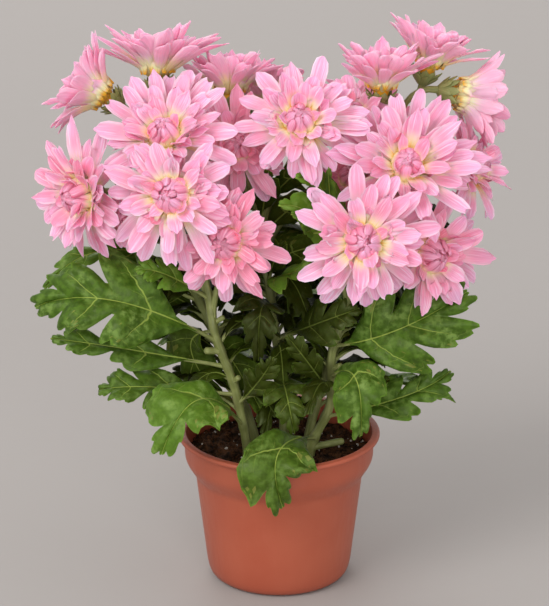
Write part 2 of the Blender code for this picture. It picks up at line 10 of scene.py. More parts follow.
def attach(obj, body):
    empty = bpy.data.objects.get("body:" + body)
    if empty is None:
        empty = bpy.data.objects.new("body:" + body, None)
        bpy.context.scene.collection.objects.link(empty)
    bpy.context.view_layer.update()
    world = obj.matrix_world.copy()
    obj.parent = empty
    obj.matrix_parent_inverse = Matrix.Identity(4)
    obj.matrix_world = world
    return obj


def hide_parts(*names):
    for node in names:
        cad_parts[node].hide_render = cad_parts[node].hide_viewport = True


# Pot chrysanthemum: plastic pot, potting soil, five leafy stems and their blooms.
# Tables and shapes are in millimetres and meshes in metres, with +Z up and the front to -Y.
# Azimuth 0 faces the front and 90 faces +X; a bloom's angles rise from the plane that it lies in.

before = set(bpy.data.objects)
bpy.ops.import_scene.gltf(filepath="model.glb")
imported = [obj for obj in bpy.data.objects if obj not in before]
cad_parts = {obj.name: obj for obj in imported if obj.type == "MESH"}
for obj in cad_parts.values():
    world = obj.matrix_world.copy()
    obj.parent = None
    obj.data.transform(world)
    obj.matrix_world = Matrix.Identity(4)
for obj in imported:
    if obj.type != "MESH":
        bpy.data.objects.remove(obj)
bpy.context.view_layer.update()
mm = 0.001
print("frame:", len(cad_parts), "solids")


# Vectors and shapes

def unit(v):  # v divided by its length
    return v / np.maximum(np.linalg.norm(v, axis=-1, keepdims=True), 1e-9)


def xyz(x, y, z):  # three arrays or numbers as one array of triples
    return np.stack(np.broadcast_arrays(x, y, z), -1)


def direction(azimuth, elevation):  # (cos e sin a, -cos e cos a, sin e)
    a, e = np.radians(azimuth), np.radians(elevation)
    return xyz(np.cos(e) * np.sin(a), -np.cos(e) * np.cos(a), np.sin(e))


def ease(x, low, high):  # 3s^2 - 2s^3 of the share s between low and high
    s = np.clip((x - low) / (high - low), 0, 1)
    return s * s * (3 - 2 * s)


def around(count):  # angles spaced evenly round a circle
    return np.linspace(0, 2 * np.pi, count, endpoint=False)


def gridFaces(rows, columns, closed=False):  # quads between neighbours; closed joins last column to first
    k = np.arange(rows * columns).reshape(rows, columns)
    if closed:
        k = np.concatenate([k, k[:, :1]], 1)
    return np.stack([k[:-1, :-1], k[1:, :-1], k[1:, 1:], k[:-1, 1:]], -1).reshape(-1, 4)


def outward(points, faces, values):  # a shape, its faces turned round where the volume in them is negative
    middle = points.mean(0)
    volume = 0.0
    for corners, sides in faces.items():
        for k in range(1, corners - 1):
            a, b, c = (points[sides[:, n]] - middle for n in (0, k, k + 1))
            volume += np.sum(a * np.cross(b, c))
    if volume < 0:
        faces = {corners: sides[:, ::-1] for corners, sides in faces.items()}
    return {"points": points, "faces": faces, "values": values}


def gather(shapes):  # many shapes as one: points in a row, face numbers moved on
    starts = np.cumsum([0] + [len(s["points"]) for s in shapes])
    faces = {}
    for corners in (3, 4):
        sets = [s["faces"][corners] + start for s, start in zip(shapes, starts) if corners in s["faces"]]
        if sets:
            faces[corners] = np.concatenate(sets)
    values = {key: np.concatenate([s["values"][key] for s in shapes]) for key in shapes[0]["values"]}
    return {"points": np.concatenate([s["points"] for s in shapes]), "faces": faces, "values": values}


def bladeSolid(upper, normal, thick, place, kind, shutTip=False):
    # Blades (count, rows, columns): the upper grid, the same grid moved in along the normal by the
    # thickness, and a band between the two edges. shutTip joins both halves of the last row.
    count, rows, columns = upper.shape[:3]
    total = rows * columns
    k = np.arange(total).reshape(rows, columns)
    top = gridFaces(rows, columns)
    if shutTip:
        mirrored = k.ravel().copy()
        mirrored[k[-1]] = np.minimum(k[-1], k[-1, ::-1])
        top = mirrored[top]
        edge = np.concatenate([k[0, ::-1], k[1:, 0], mirrored[k[-2::-1, -1]]])[:-1]
    else:
        edge = np.concatenate([k[0, :0:-1], k[:-1, 0], k[-1, :-1], k[:0:-1, -1]])
    after = np.roll(edge, -1)
    band = np.stack([after, edge, edge + total, after + total], -1)
    one = np.concatenate([top, top[:, ::-1] + total, band])
    faces = {4: (one + 2 * total * np.arange(count)[:, None, None]).reshape(-1, 4)}
    place, kind = np.broadcast_to(place, upper.shape), np.broadcast_to(kind, upper.shape)
    under = xyz(place[..., 0], place[..., 1], 1.0)
    pairs = (upper, upper - normal * thick), (place, under), (kind, kind)
    points, place, kind = (np.stack(pair, 1).reshape(-1, 3) for pair in pairs)
    return outward(points, faces, {"place": place, "kind": kind})


def roundSolid(rings, place=(0, 0, 0), kind=(0, 0, 0), ends=None):
    # Rings (rows, sides) joined by quads, with a fan of triangles from each end's point or middle
    rows, sides = rings.shape[:2]
    i = np.arange(sides)
    j = (i + 1) % sides
    low = rows * sides
    last = low - sides
    fans = np.concatenate([xyz(i, j, low), xyz(last + j, last + i, low + 1)])
    place, kind = (np.broadcast_to(value, rings.shape).reshape(-1, 3) for value in (place, kind))
    values = {"place": np.concatenate([place, place[:1], place[-1:]]),
              "kind": np.concatenate([kind, kind[:1], kind[-1:]])}
    ends = [rings[0].mean(0), rings[-1].mean(0)] if ends is None else ends
    points = np.concatenate([rings.reshape(-1, 3), ends])
    return outward(points, {4: gridFaces(rows, sides, closed=True), 3: fans}, values)


def turned(line, sides, axes=np.eye(3), centre=0.0):  # rings of a line of radius and height round an axis
    turn = around(sides)[:, None]
    spoke = axes[0] * np.cos(turn) + axes[1] * np.sin(turn)
    return centre + spoke * line[:, None, :1] + axes[2] * line[:, None, 1:]


def tube(path, radius, sides, along, kind, flutes=0, fluteDepth=0.0):
    # Circles of the given radii square to a path; the fluted ones swell by depth * cos(flutes * turn)
    ahead = unit(np.gradient(path, axis=0))
    chord = unit(path[-1] - path[0])
    guide = np.eye(3)[np.argmin(np.abs(chord))]
    across = unit(guide - ahead * (ahead @ guide)[:, None])
    beside = np.cross(ahead, across)
    turn = around(sides)
    swell = 1 + fluteDepth * np.cos(flutes * turn)
    spokes = across[:, None] * np.cos(turn)[:, None] + beside[:, None] * np.sin(turn)[:, None]
    rings = path[:, None] + spokes * (radius[:, None] * swell)[..., None]
    return roundSolid(rings, xyz(along[:, None], turn / (2 * np.pi), 0), kind)


def smoothPath(points, steps):
    # Catmull-Rom curve: cubics through the points whose slopes are half the chords beside them
    p = np.vstack([2 * points[0] - points[1], points, 2 * points[-1] - points[-2]])
    t = np.linspace(0, 1, steps, endpoint=False)[:, None, None]
    a, b, c, d = p[:-3], p[1:-2], p[2:-1], p[3:]
    square, cube = 2 * a - 5 * b + 4 * c - d, 3 * b - a - 3 * c + d
    curve = 0.5 * (2 * b + (c - a) * t + square * t ** 2 + cube * t ** 3)
    return np.vstack([curve.transpose(1, 0, 2).reshape(-1, 3), p[-2]])


def addPiece(name, shape, material, nodes, creaseAngle=60):
    # Puts a shape into a mesh object that rides on the body and stands for the given solids
    mesh = bpy.data.meshes.new(name)
    loops = np.concatenate([faces.ravel() for faces in shape["faces"].values()]).astype(np.int32)
    sizes = np.concatenate([np.full(len(faces), corners) for corners, faces in shape["faces"].items()])
    starts = np.concatenate([[0], np.cumsum(sizes)[:-1]]).astype(np.int32)
    mesh.vertices.add(len(shape["points"]))
    mesh.vertices.foreach_set("co", (shape["points"] * mm).astype(np.float32).ravel())
    mesh.loops.add(len(loops))
    mesh.loops.foreach_set("vertex_index", loops)
    mesh.polygons.add(len(starts))
    mesh.polygons.foreach_set("loop_start", starts)
    mesh.update(calc_edges=True)
    for key, value in shape["values"].items():
        layer = mesh.attributes.new(key, "FLOAT_VECTOR", "POINT")
        layer.data.foreach_set("vector", value.astype(np.float32).ravel())
    mesh.validate()
    mesh.shade_smooth()
    mesh.set_sharp_from_angle(angle=math.radians(creaseAngle))
    mesh.materials.append(material)
    piece = bpy.data.objects.new(name, mesh)
    bpy.context.scene.collection.objects.link(piece)
    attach(piece, "root")
    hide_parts(*nodes)
    return piece


# Material nodes: newMaterial starts a material, and the other functions add nodes to the last one

def newMaterial(name, **sockets):
    global tree
    material = bpy.data.materials.new(name)
    material.use_nodes = True
    tree = material.node_tree
    for key, value in sockets.items():
        tree.nodes["Principled BSDF"].inputs[key.replace("_", " ")].default_value = value
    return material


def put(kind, settings=None, **inputs):  # a node; an input named _n is its socket number n
    node = tree.nodes.new(kind)
    for key, value in (settings or {}).items():
        setattr(node, key, value)
    for key, value in inputs.items():
        socket = node.inputs[int(key[1:]) if key[0] == "_" else key]
        if isinstance(value, bpy.types.NodeSocket):
            tree.links.new(value, socket)
        else:
            socket.default_value = value
    return node


def calc(operation, a, b=0.0, c=0.0):
    return put("ShaderNodeMath", {"operation": operation}, _0=a, _1=b, _2=c).outputs[0]


def times(a, b, c=0.0):  # a * b + c
    return calc("MULTIPLY_ADD", a, b, c)


def spread(value, low, high, toLow=0.0, toHigh=1.0):  # smooth step from one range to another
    settings = {"interpolation_type": "SMOOTHSTEP"}
    return put("ShaderNodeMapRange", settings, _0=value, _1=low, _2=high, _3=toLow, _4=toHigh).outputs[0]


def blend(factor, a, b, mode="MIX"):
    settings = {"data_type": "RGBA", "blend_type": mode}
    return put("ShaderNodeMix", settings, _0=factor, _6=a, _7=b).outputs[2]


def layered(base, *coats):  # each coat is a factor and the colour that it brings over those below
    for factor, coat in coats:
        base = blend(factor, base, coat)
    return base


def shaded(base, shade):
    return blend(1.0, base, triple(shade, shade, shade), "MULTIPLY")


def noise(vector, scale, detail=3.0, roughness=0.55):
    node = put("ShaderNodeTexNoise", Vector=vector, Scale=scale, Detail=detail, Roughness=roughness)
    return node.outputs["Fac"]


def triple(x, y, z):
    return put("ShaderNodeCombineXYZ", X=x, Y=y, Z=z).outputs[0]


def parts(vector):
    return put("ShaderNodeSeparateXYZ", _0=vector).outputs


def attributeParts(name):
    return parts(put("ShaderNodeAttribute", {"attribute_name": name}).outputs["Vector"])


def objectPlace():
    return put("ShaderNodeTexCoord").outputs["Object"]


def colour(red, green, blue):  # linear colour of a screen colour given from 0 to 255
    s = np.array([red, green, blue]) / 255
    linear = np.where(s <= 0.04045, s / 12.92, ((s + 0.055) / 1.055) ** 2.4)
    return (*linear.tolist(), 1.0)


def finishWith(baseColour, roughness=None, height=None, bumpDistance=0.0, strength=0.0):
    shader = tree.nodes["Principled BSDF"]
    tree.links.new(baseColour, shader.inputs["Base Color"])
    if roughness is not None:
        tree.links.new(roughness, shader.inputs["Roughness"])
    if height is not None:
        bump = put("ShaderNodeBump", Strength=strength, Distance=bumpDistance, Height=height)
        tree.links.new(bump.outputs[0], shader.inputs["Normal"])


# Petals

petalLook = {
    "claw": colour(246, 170, 44),
    "cream": colour(255, 230, 172),
    "pale": colour(254, 212, 220),
    "pink": colour(251, 157, 187),
    "tip": colour(249, 169, 207),
    "edge": colour(252, 212, 232),
    # painted highlight colour of the lighter streaks
    "light": colour(255, 230, 240),
    "warm": colour(250, 132, 157),
    "heart": colour(251, 112, 146),
    # painted shade colour of the gaps between the ball's florets
    "gap": colour(210, 56, 96),
    "back": colour(255, 180, 207),
    "streaks": 7.0, "ridges": 7.0,
}


def petalMaterial():
    # The claw is yellow, then cream, then pink and lavender at the tip; fine streaks run lengthwise
    # over three ridges, cos(7 across), and their lighter parts are a painted highlight. The ball's
    # florets are deep pink along their edges, as painted shade in the gaps between them.
    look = petalLook
    material = newMaterial(
        "silk_petal", Roughness=0.55, Specular_IOR_Level=0.35, Subsurface_Weight=0.5, Subsurface_Scale=0.003,
        Subsurface_Radius=(1.0, 0.4, 0.45))
    along, across, under = attributeParts("place")
    depth, tone, seed = attributeParts("kind")
    beside = calc("ABSOLUTE", across)
    streak = noise(triple(times(across, look["streaks"]), times(along, 1.6), seed), 1.0, 2.0)
    cloud = noise(triple(across, times(along, 2.0), seed), 1.3, 1.0)
    front = calc("ADD", along, times(calc("SUBTRACT", streak, 0.5), 0.35))
    # salmon coat: partly the petals' own colour and partly painted shade that deepens the inner layers
    warmthAndShade = times(tone, 0.3, times(depth, 0.55))
    ball = spread(depth, 0.64, 0.72)
    pink = layered(
        look["pale"],
        (spread(front, 0.35, 0.7), look["pink"]),
        (spread(front, 0.6, 1.0), look["tip"]),
        (spread(beside, 0.5, 1.0, 0.0, 0.6), look["edge"]),
        (spread(warmthAndShade, 0.0, 0.8, 0.0, 0.75), look["warm"]),
        (spread(depth, 0.6, 1.0, 0.0, 0.5), look["heart"]),
        # painted highlight: near-white pink where the streak noise is high
        (spread(streak, 0.5, 0.78, 0.0, 0.48), look["light"]),
        # painted shade: deep pink along the edges of the ball's florets, for the gaps between them
        (times(ball, spread(beside, 0.4, 1.0, 0.0, 0.85)), look["gap"]),
        (times(under, spread(depth, 0.75, 0.4, 0.15, 0.75)), look["back"]),
    )
    reach = times(tone, 0.07, times(depth, -0.2, front))
    foot = blend(spread(times(under, 0.13, reach), 0.05, 0.35), look["claw"], look["cream"])
    base = blend(spread(reach, 0.2, 0.56), foot, pink)
    base = shaded(base, spread(times(cloud, 0.5, streak), 0.4, 1.1, 0.9, 1.12))
    ridges = calc("COSINE", times(across, look["ridges"]))
    height = times(times(ridges, cloud), 0.45, streak)
    finishWith(base, spread(streak, 0.2, 0.8, 0.44, 0.62), height, 0.0003, 0.6)
    return material


blooms = {  # stem, branch height, centre, facing, reach, petals outer, middle and inner, how closed
    "top_left": ("back_left", 215, (-70, 25, 304), (-168, 72), 43, (10, 6, 3), 36),
    "far_left": ("back_left", 190, (-101, 22, 291), (-100, 30), 39, (8, 6, 3), 44),
    "upper_left": ("front_left", 205, (-64, -22, 279), (-12, 46), 44, (10, 8, 4), 12),
    "left": ("front_left", 180, (-60, -54, 255), (-12, 22), 43, (10, 8, 4), 0),
    "left_side": ("back_left", 175, (-111, -18, 244), (-42, 6), 42, (10, 6, 3), 8),
    "half_open": ("front_left", 170, (-86, -34, 235), (-24, 8), 20, (5, 4, 1), 14),
    "middle": ("front_left", 160, (-30, -54, 228), (-14, 12), 38, (9, 7, 4), 0),
    "inner_left": ("centre", 205, (-25, 4, 266), (8, 30), 36, (8, 6, 3), 10),
    "top_middle": ("centre", 215, (-29, 32, 291), (168, 74), 39, (8, 6, 3), 34),
    "centre": ("centre", 200, (12, -16, 286), (-4, 38), 41, (9, 7, 4), 10),
    "top": ("back_right", 215, (59, 14, 299), (160, 80), 39, (8, 6, 3), 36),
    "top_right": ("back_right", 222, (87, 42, 304), (128, 68), 39, (8, 6, 3), 34),
    "far_right": ("back_right", 205, (104, 30, 290), (100, -14), 40, (9, 6, 2), 42),
    "right": ("back_right", 195, (72, -22, 261), (8, 38), 49, (11, 9, 4), 12),
    "lower_right": ("front_right", 186, (47, -60, 230), (3, 18), 44, (10, 8, 4), 0),
    "low_right": ("front_right", 172, (84, -36, 214), (34, 12), 42, (9, 7, 4), 2),
    "inner_right": ("centre", 185, (42, 8, 281), (0, 52), 30, (7, 5, 2), 12),
    "shaded": ("front_right", 192, (42, 0, 247), (0, 45), 26, (7, 4, 2), 10),
    "right_side": ("back_right", 185, (110, 14, 250), (60, 28), 34, (8, 5, 3), 6),
    "back_left": ("back_left", 200, (-66, 58, 258), (-152, 30), 38, (8, 6, 3), 4),
    "back": ("centre", 195, (-8, 62, 274), (176, 34), 36, (8, 5, 3), 4),
    "back_right": ("back_right", 200, (54, 62, 262), (158, 30), 38, (8, 6, 3), 4),
}
bloomShape = {
    # root radius, root height, share of the reach, rise, droop, half width
    "layers": (
        (4.5, -2.5, 1.00, 10.0, 26.0, 5.4),
        (4.5, 0.5, 0.80, 33.0, 18.0, 4.9),
        (4.5, 3.0, 0.52, 58.0, 14.0, 4.0),
    ),
    "slimming": 0.88,     # these petals are more and slimmer than the solids' petals
    # petals between the layers: the same six values, number for each outer petal, depth of colour
    "fillers": (
        (4.6, -1.5, 0.97, 19.0, 30.0, 4.9, 1.3, 0.06),
        (4.6, 0.0, 0.84, 30.0, 24.0, 4.7, 1.0, 0.16),
        (4.6, 1.2, 0.66, 43.0, 20.0, 4.5, 1.1, 0.34),
        (8.0, -0.5, 0.42, 42.0, -8.0, 3.9, 1.1, 0.5),
    ),
    # florets of the ball: root radius, root height, length, rise, inward bend, half width, number, depth
    "ball": (
        (9.6, -1.0, 18.5, 66.0, 86.0, 3.3, 12, 0.74),
        (7.6, 1.5, 16.5, 74.0, 84.0, 3.0, 10, 0.8),
        (5.2, 4.0, 13.5, 78.0, 80.0, 2.6, 8, 0.86),
        (2.7, 7.5, 9.0, 84.0, 60.0, 2.2, 5, 0.92),
    ),
    # radius and height of the body under the florets
    "core": ((6.2, -6), (8.6, -2), (8.8, 3), (6.6, 7.0), (3.6, 9.5)), "coreSides": 14,
    "fullReach": 42.0, "leastScale": 0.45, "steepest": 76.0,
    "hang": 26.0,         # how much further an outer petal droops that points straight down
    "spread": 10.0, "lengths": (0.76, 1.06),
    "layerDepth": 0.32,   # how much deeper each layer of the solid's petals is coloured
    "lost": 2.5,          # a solid's petal further off than this is one that the solid dropped
    # seeded differences of the fillers' azimuth and rise, and of their length; in blooms less open their
    # root moves out by the first share of closed, and their number grows by closed / the second value
    "fillerSpread": (12.0, 10.0), "fillerLengths": (0.74, 1.08), "fillerSwell": (0.04, 80.0),
    # the same of the florets, and how much their root rises with closed
    "floretSpread": (6.0, 5.0), "floretLengths": (0.9, 1.06), "floretLift": 0.06,
    "floretCups": (0.45, 0.7), "floretClaw": 0.25,
    "tightest": 90.0,     # the ball and its core are narrower by closed / tightest in blooms less open
    # how much deeper and more salmon the pink of some blooms is: partly their own colour and partly painted
    # shade on the blooms that sit in the shade of others
    "bloomWarmthAndShade": {"shaded": 1.6, "inner_left": 0.9, "inner_right": 0.7, "middle": 1.5, "low_right": 0.8,
               "left_side": 0.5, "half_open": 0.7, "upper_left": -0.2, "far_right": 1.0, "right": 0.1,
               "centre": -0.4, "top_middle": -0.5, "top_left": -0.2, "far_left": -0.3},
    # rows, columns and thickness of a petal and of a floret
    "petal": ((0, 0.2, 0.42, 0.64, 0.82, 0.94, 1), (-1, -0.6, 0, 0.6, 1), 0.34),
    "floret": ((0.12, 0.36, 0.62, 0.82, 0.94, 1), (-1, -0.45, 0.45, 1), 0.4),
    # rows and columns of the coarse grid that is tried against the other solids
    "probe": ((0.25, 0.6, 0.85, 1.0), (-0.9, 0, 0.9)),
}
plainPetal = {  # what a petal is before it is varied, apart from its root, droop and half width
    "azimuth": 0.0, "start": 0.0, "length": 1.0, "claw": 0.26, "blunt": 0.2, "round": 2.6, "twist": 0.0,
    "wave": 0.0, "phase": 0.0, "cup": 0.14, "bow": 0.0, "tip": 0.0, "depth": 0.0, "tone": 0.0, "seed": 0.0,
}
petalRanges = {  # how much the forms of petals differ; twist and bow are the width of a bell curve
    "cup": (0.08, 0.34), "twist": 0.24, "wave": (0.06, 0.34), "bow": 0.07,
    "tips": (-0.4, 0.1, 0.3, 0.8), "tipOdds": (0.14, 0.44, 0.28, 0.14),
    "notchedBlunt": 0.5, "blunt": 0.28, "round": (2.0, 3.4), "claw": (0.2, 0.32), "half": (0.88, 1.1),
}
petalForm = {  # along the petal as shares of its length, upward as shares of its half width
    "widest": 0.74, "swell": 1.05, "cupRest": 0.3, "ripples": 7.5, "rippleEdge": 1.5,
    "crease": 0.1, "creaseWidth": 0.25, "bob": 0.022, "bobs": 5.0, "tipStart": 0.78,
}
# Ways in which a petal is bent clear: change of rise, change of azimuth, share of its length
petalNudges = np.array((
    (0, 0, 1.0), (7, 0, 1.0), (-7, 0, 1.0), (0, 8, 1.0), (0, -8, 1.0), (14, 0, 1.0), (-14, 0, 1.0),
    (10, 8, 0.92), (10, -8, 0.92), (22, 0, 0.92), (-22, 0, 0.92), (0, 0, 0.85), (14, 12, 0.85),
    (14, -12, 0.85), (30, 0, 0.85), (0, 0, 0.72), (20, 0, 0.72), (-14, 0, 0.72), (38, 0, 0.7),
))


def solidShape(name):
    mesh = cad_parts[name].data
    points = np.empty(3 * len(mesh.vertices))
    mesh.vertices.foreach_get("co", points)
    faces = np.empty(3 * len(mesh.polygons), int)
    mesh.polygons.foreach_get("vertices", faces)
    points = points.reshape(-1, 3) / mm
    surface = BVHTree.FromPolygons(points.tolist(), faces.reshape(-1, 3).tolist())
    return {"surface": surface, "low": points.min(0), "high": points.max(0)}


def gapTo(node, points):  # mean distance of some points from a solid
    return float(np.mean([solids[node]["surface"].find_nearest(Vector(p))[3] for p in points]))


def bloomPlace(plan):  # centre, axes (right, top and facing) and scale of a bloom
    _, _, centre, facing, reach, _, _ = plan
    face, right = direction(*facing), direction(facing[0] + 90, 0)
    least = bloomShape["leastScale"]
    scale = min(1.0, least + (1 - least) * reach / bloomShape["fullReach"])
    return np.array(centre, float), (right, np.cross(face, right), face), scale


def petalGrid(place, p, rows, columns):
    # Rows run along an arc that leaves at the start angle and bends by the droop, columns run across.
    # The half width is a sine up to the widest row and an oval from there; edges rise with v^2.
    centre, (right, top, face), scale = place
    form, u, v = petalForm, np.array(rows)[:, None], np.array(columns)
    q = {key: value[:, None, None] for key, value in p.items()}
    azimuth, start, bend = (np.radians(q[key]) for key in ("azimuth", "start", "droop"))
    length, phase = q["length"], q["phase"]
    angle = start - bend * u
    ahead = length * (np.sin(start) - np.sin(angle)) / bend
    lift = length * (np.cos(angle) - np.cos(start)) / bend
    tipShare = np.clip((u - form["widest"]) / (1 - form["widest"]), 0, 1)
    body = np.sin(np.pi / 2 * np.clip(u / form["widest"], 0, 1)) ** form["swell"]
    oval = np.sqrt(1 - (1 - q["blunt"] ** 2) * tipShare ** q["round"])
    half = q["half"] * (q["claw"] + (1 - q["claw"]) * body) * oval
    ripple = q["wave"] * half * u * np.sin(form["ripples"] * u + phase)
    twist = q["twist"] * u
    y = half * v
    z = q["cup"] * half * (v ** 2 - form["cupRest"]) + ripple * np.abs(v) ** form["rippleEdge"] * np.sign(v)
    z = z - form["crease"] * half * np.exp(-(v / form["creaseWidth"]) ** 2)
    sideways = y * np.cos(twist) - z * np.sin(twist) + q["bow"] * length * u ** 2
    bob = form["bob"] * length * np.sin(form["bobs"] * u + 1.7 * phase) * u
    upward = y * np.sin(twist) + z * np.cos(twist) + bob
    forward = q["tip"] * q["half"] * ease(u, form["tipStart"], 1.0) * (1 - v ** 2)
    out = right * np.cos(azimuth)[..., None] + top * np.sin(azimuth)[..., None]
    cos, sin = np.cos(angle)[..., None], np.sin(angle)[..., None]
    above, forth = face * cos - out * sin, out * cos + face * sin
    root = centre + (out * q["rootRadius"][..., None] + face * q["rootHeight"][..., None]) * scale
    line = root + out * ahead[..., None] + face * lift[..., None]
    line = line + np.cross(face, out) * sideways[..., None]
    return line + above * upward[..., None] + forth * forward[..., None], above


def petalBlades(place, p, rows, columns, thick, stretch=(1, 1), thinning=0.5):
    # Blades on the grids; they thin out towards their edges by a share that grows with v^4
    upper, normal = petalGrid(place, p, rows, columns)
    u, v = np.meshgrid(np.array(rows, float), np.array(columns, float), indexing="ij")
    kind = xyz(p["depth"], p["tone"], p["seed"])[:, None, None]
    thick = thick * (1 - thinning * np.abs(v) ** 4)[..., None]
    return bladeSolid(upper, normal, thick, xyz(u * stretch[0], v * stretch[1], 0), kind)


def petalTable(count, rootRadius, rootHeight, droop, half):  # plain values, which the callers then vary
    values = dict(plainPetal, rootRadius=rootRadius, rootHeight=rootHeight, droop=droop, half=half)
    return {key: np.full(count, value, float) for key, value in values.items()}


def onePetal(p, index):
    return {key: value[index:index + 1].copy() for key, value in p.items()}


def joined(petals):
    return {key: np.concatenate([one[key] for one in petals]) for key in petals[0]} if petals else None


def fanned(count, spreadOut, rng):  # azimuths round a bloom from a random one on, each a little off
    return rng.uniform(0, 360) + 360 * np.arange(count) / count + rng.uniform(-spreadOut, spreadOut, count)


def hanging(p, axes, layer):  # outer petals that point down droop further
    if layer == 0:
        azimuth = np.radians(p["azimuth"])
        fall = axes[0][2] * np.cos(azimuth) + axes[1][2] * np.sin(azimuth)
        p["droop"] = p["droop"] + bloomShape["hang"] * np.maximum(0, -fall)


def vary(p, rng, strength=1.0):  # small seeded differences in the forms of petals
    r, count = petalRanges, len(p["length"])
    p["cup"] = rng.uniform(*r["cup"], count)
    p["twist"] = strength * rng.normal(0, r["twist"], count)
    p["wave"] = strength * rng.uniform(*r["wave"], count)
    p["phase"] = rng.uniform(0, 6.28, count)
    p["bow"] = strength * rng.normal(0, r["bow"], count)
    p["tip"] = rng.choice(r["tips"], count, p=r["tipOdds"])
    p["blunt"] = np.where(p["tip"] < 0, r["notchedBlunt"], r["blunt"])
    p["round"] = rng.uniform(*r["round"], count)
    p["claw"] = rng.uniform(*r["claw"], count)
    p["tone"] = rng.uniform(-1, 1, count)
    p["seed"] = rng.uniform(0, 40, count)
    p["half"] = p["half"] * rng.uniform(*r["half"], count)


def cadPetals(name, plan):
    # The petals that the solid of a bloom has, by the same seeded rule, each with the bend that it got
    s, place = bloomShape, bloomPlace(plan)
    reach, counts, closed = plan[4:]
    draw = random.Random("bloom_" + name)
    petals = []
    for layer, count in enumerate(counts):
        rootRadius, rootHeight, share, rise, droop, half = s["layers"][layer]
        offset = draw.uniform(0, 360)
        for index in range(count):
            azimuth = offset + 360 * index / count + draw.uniform(-s["spread"], s["spread"])
            start = rise + draw.uniform(-s["spread"], s["spread"])
            length = (reach - rootRadius) * share * draw.uniform(*s["lengths"])
            tries = petalTable(len(petalNudges), rootRadius, rootHeight, droop, half * place[2])
            tries["azimuth"] = azimuth + petalNudges[:, 1]
            tries["start"] = min(start + closed, s["steepest"]) + petalNudges[:, 0]
            tries["length"] = length * petalNudges[:, 2]
            tries["depth"] += layer * s["layerDepth"]
            hanging(tries, place[1], layer)
            line, _ = petalGrid(place, tries, (0.5, 0.8, 1.0), (0.0,))
            gaps = [gapTo("bloom_" + name, points[:, 0]) for points in line]
            best = int(np.argmin(gaps))
            if gaps[best] < s["lost"]:
                petals.append(onePetal(tries, best))
    return joined(petals)


def isClear(points, near):  # whether a coarse grid of one petal or leaf touches none of the solids
    rows, columns = points.shape[:2]
    probe = BVHTree.FromPolygons(points.reshape(-1, 3).tolist(), gridFaces(rows, columns).tolist())
    return not any(probe.overlap(solid["surface"]) for solid in near)


def nearSolids(centre, reach, own):
    low, high = centre - reach, centre + reach
    return [solid for name, solid in solids.items()
            if name != own and np.all(solid["low"] < high) and np.all(solid["high"] > low)]


def clearNudge(place, p, near):
    # Gives each petal the first nudge with which it is clear of the neighbours, and drops the others
    petals = []
    for index in range(len(p["length"])):
        for rise, turn, share in petalNudges:
            one = onePetal(p, index)
            one["start"] += rise
            one["azimuth"] += turn
            one["length"] *= share
            if isClear(petalGrid(place, one, *bloomShape["probe"])[0][0], near):
                petals.append(one)
                break
    return joined(petals)


def coreShape(place, tight):  # the small body under the florets, turned round the facing axis
    centre, axes, scale = place
    line = np.array(bloomShape["core"], float) * (scale * tight, scale)
    rings = turned(line, bloomShape["coreSides"], axes, centre)
    along = ease(line[:, None, 1], -3 * scale, 3 * scale) * 0.8
    return roundSolid(rings, xyz(np.broadcast_to(along, rings.shape[:2]), 0, 0), (1.0, 0.6, 3.0))


def makeBloom(name, plan, material):
    reach, counts, closed = plan[4:]
    s, place = bloomShape, bloomPlace(plan)
    centre, axes, scale = place
    rng = np.random.default_rng(random.Random(name + "_fine").randrange(1 << 30))
    tight = 1 - closed / s["tightest"]
    main = cadPetals(name, plan)
    main["half"] = main["half"] * s["slimming"]
    vary(main, rng)
    shapes = [coreShape(place, tight), petalBlades(place, main, *s["petal"])]
    near = nearSolids(centre, reach, "bloom_" + name)
    petals = len(main["length"])
    for level, (rootRadius, rootHeight, share, rise, droop, half, perPetal, depth) in enumerate(s["fillers"]):
        grow, fuller = s["fillerSwell"]
        count = max(4, round(counts[0] * perPetal * (1 + closed / fuller)))
        p = petalTable(count, rootRadius + grow * closed, rootHeight, droop, half * scale)
        p["azimuth"] = fanned(count, s["fillerSpread"][0], rng)
        lean = rng.uniform(-s["fillerSpread"][1], s["fillerSpread"][1], count)
        p["start"] = np.minimum(rise + closed + lean, s["steepest"])
        p["length"] = (reach - rootRadius) * share * rng.uniform(*s["fillerLengths"], count)
        hanging(p, axes, level)
        vary(p, rng)
        p["depth"] += depth
        p = clearNudge(place, p, near)
        if p:
            shapes.append(petalBlades(place, p, *s["petal"]))
            petals += len(p["length"])
    for rootRadius, rootHeight, length, rise, bend, half, count, depth in s["ball"]:
        p = petalTable(count, rootRadius * tight, rootHeight + s["floretLift"] * closed, -bend, half * scale)
        p["azimuth"] = fanned(count, s["floretSpread"][0], rng)
        p["start"] = rise + rng.uniform(-s["floretSpread"][1], s["floretSpread"][1], count)
        p["length"] = length * scale * rng.uniform(*s["floretLengths"], count)
        vary(p, rng, 0.6)
        p["cup"] = rng.uniform(*s["floretCups"], count)
        p["claw"] += s["floretClaw"]
        p["depth"] += depth
        shapes.append(petalBlades(place, p, *s["floret"]))
    shape = gather(shapes)
    # each bloom's own salmon shift, with painted shade on the blooms that sit in shade
    shape["values"]["kind"][:, 1] += s["bloomWarmthAndShade"].get(name, 0.0)
    addPiece("petals_" + name, shape, material, ["bloom_" + name])
    return petals, len(shape["faces"][4])


solids = {name: solidShape(name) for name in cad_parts}
silkPetal = petalMaterial()
petals, quads = np.sum([makeBloom(name, plan, silkPetal) for name, plan in blooms.items()], 0)
print("blooms:", len(blooms), "with", petals, "petals and", quads, "quads")


# Stems

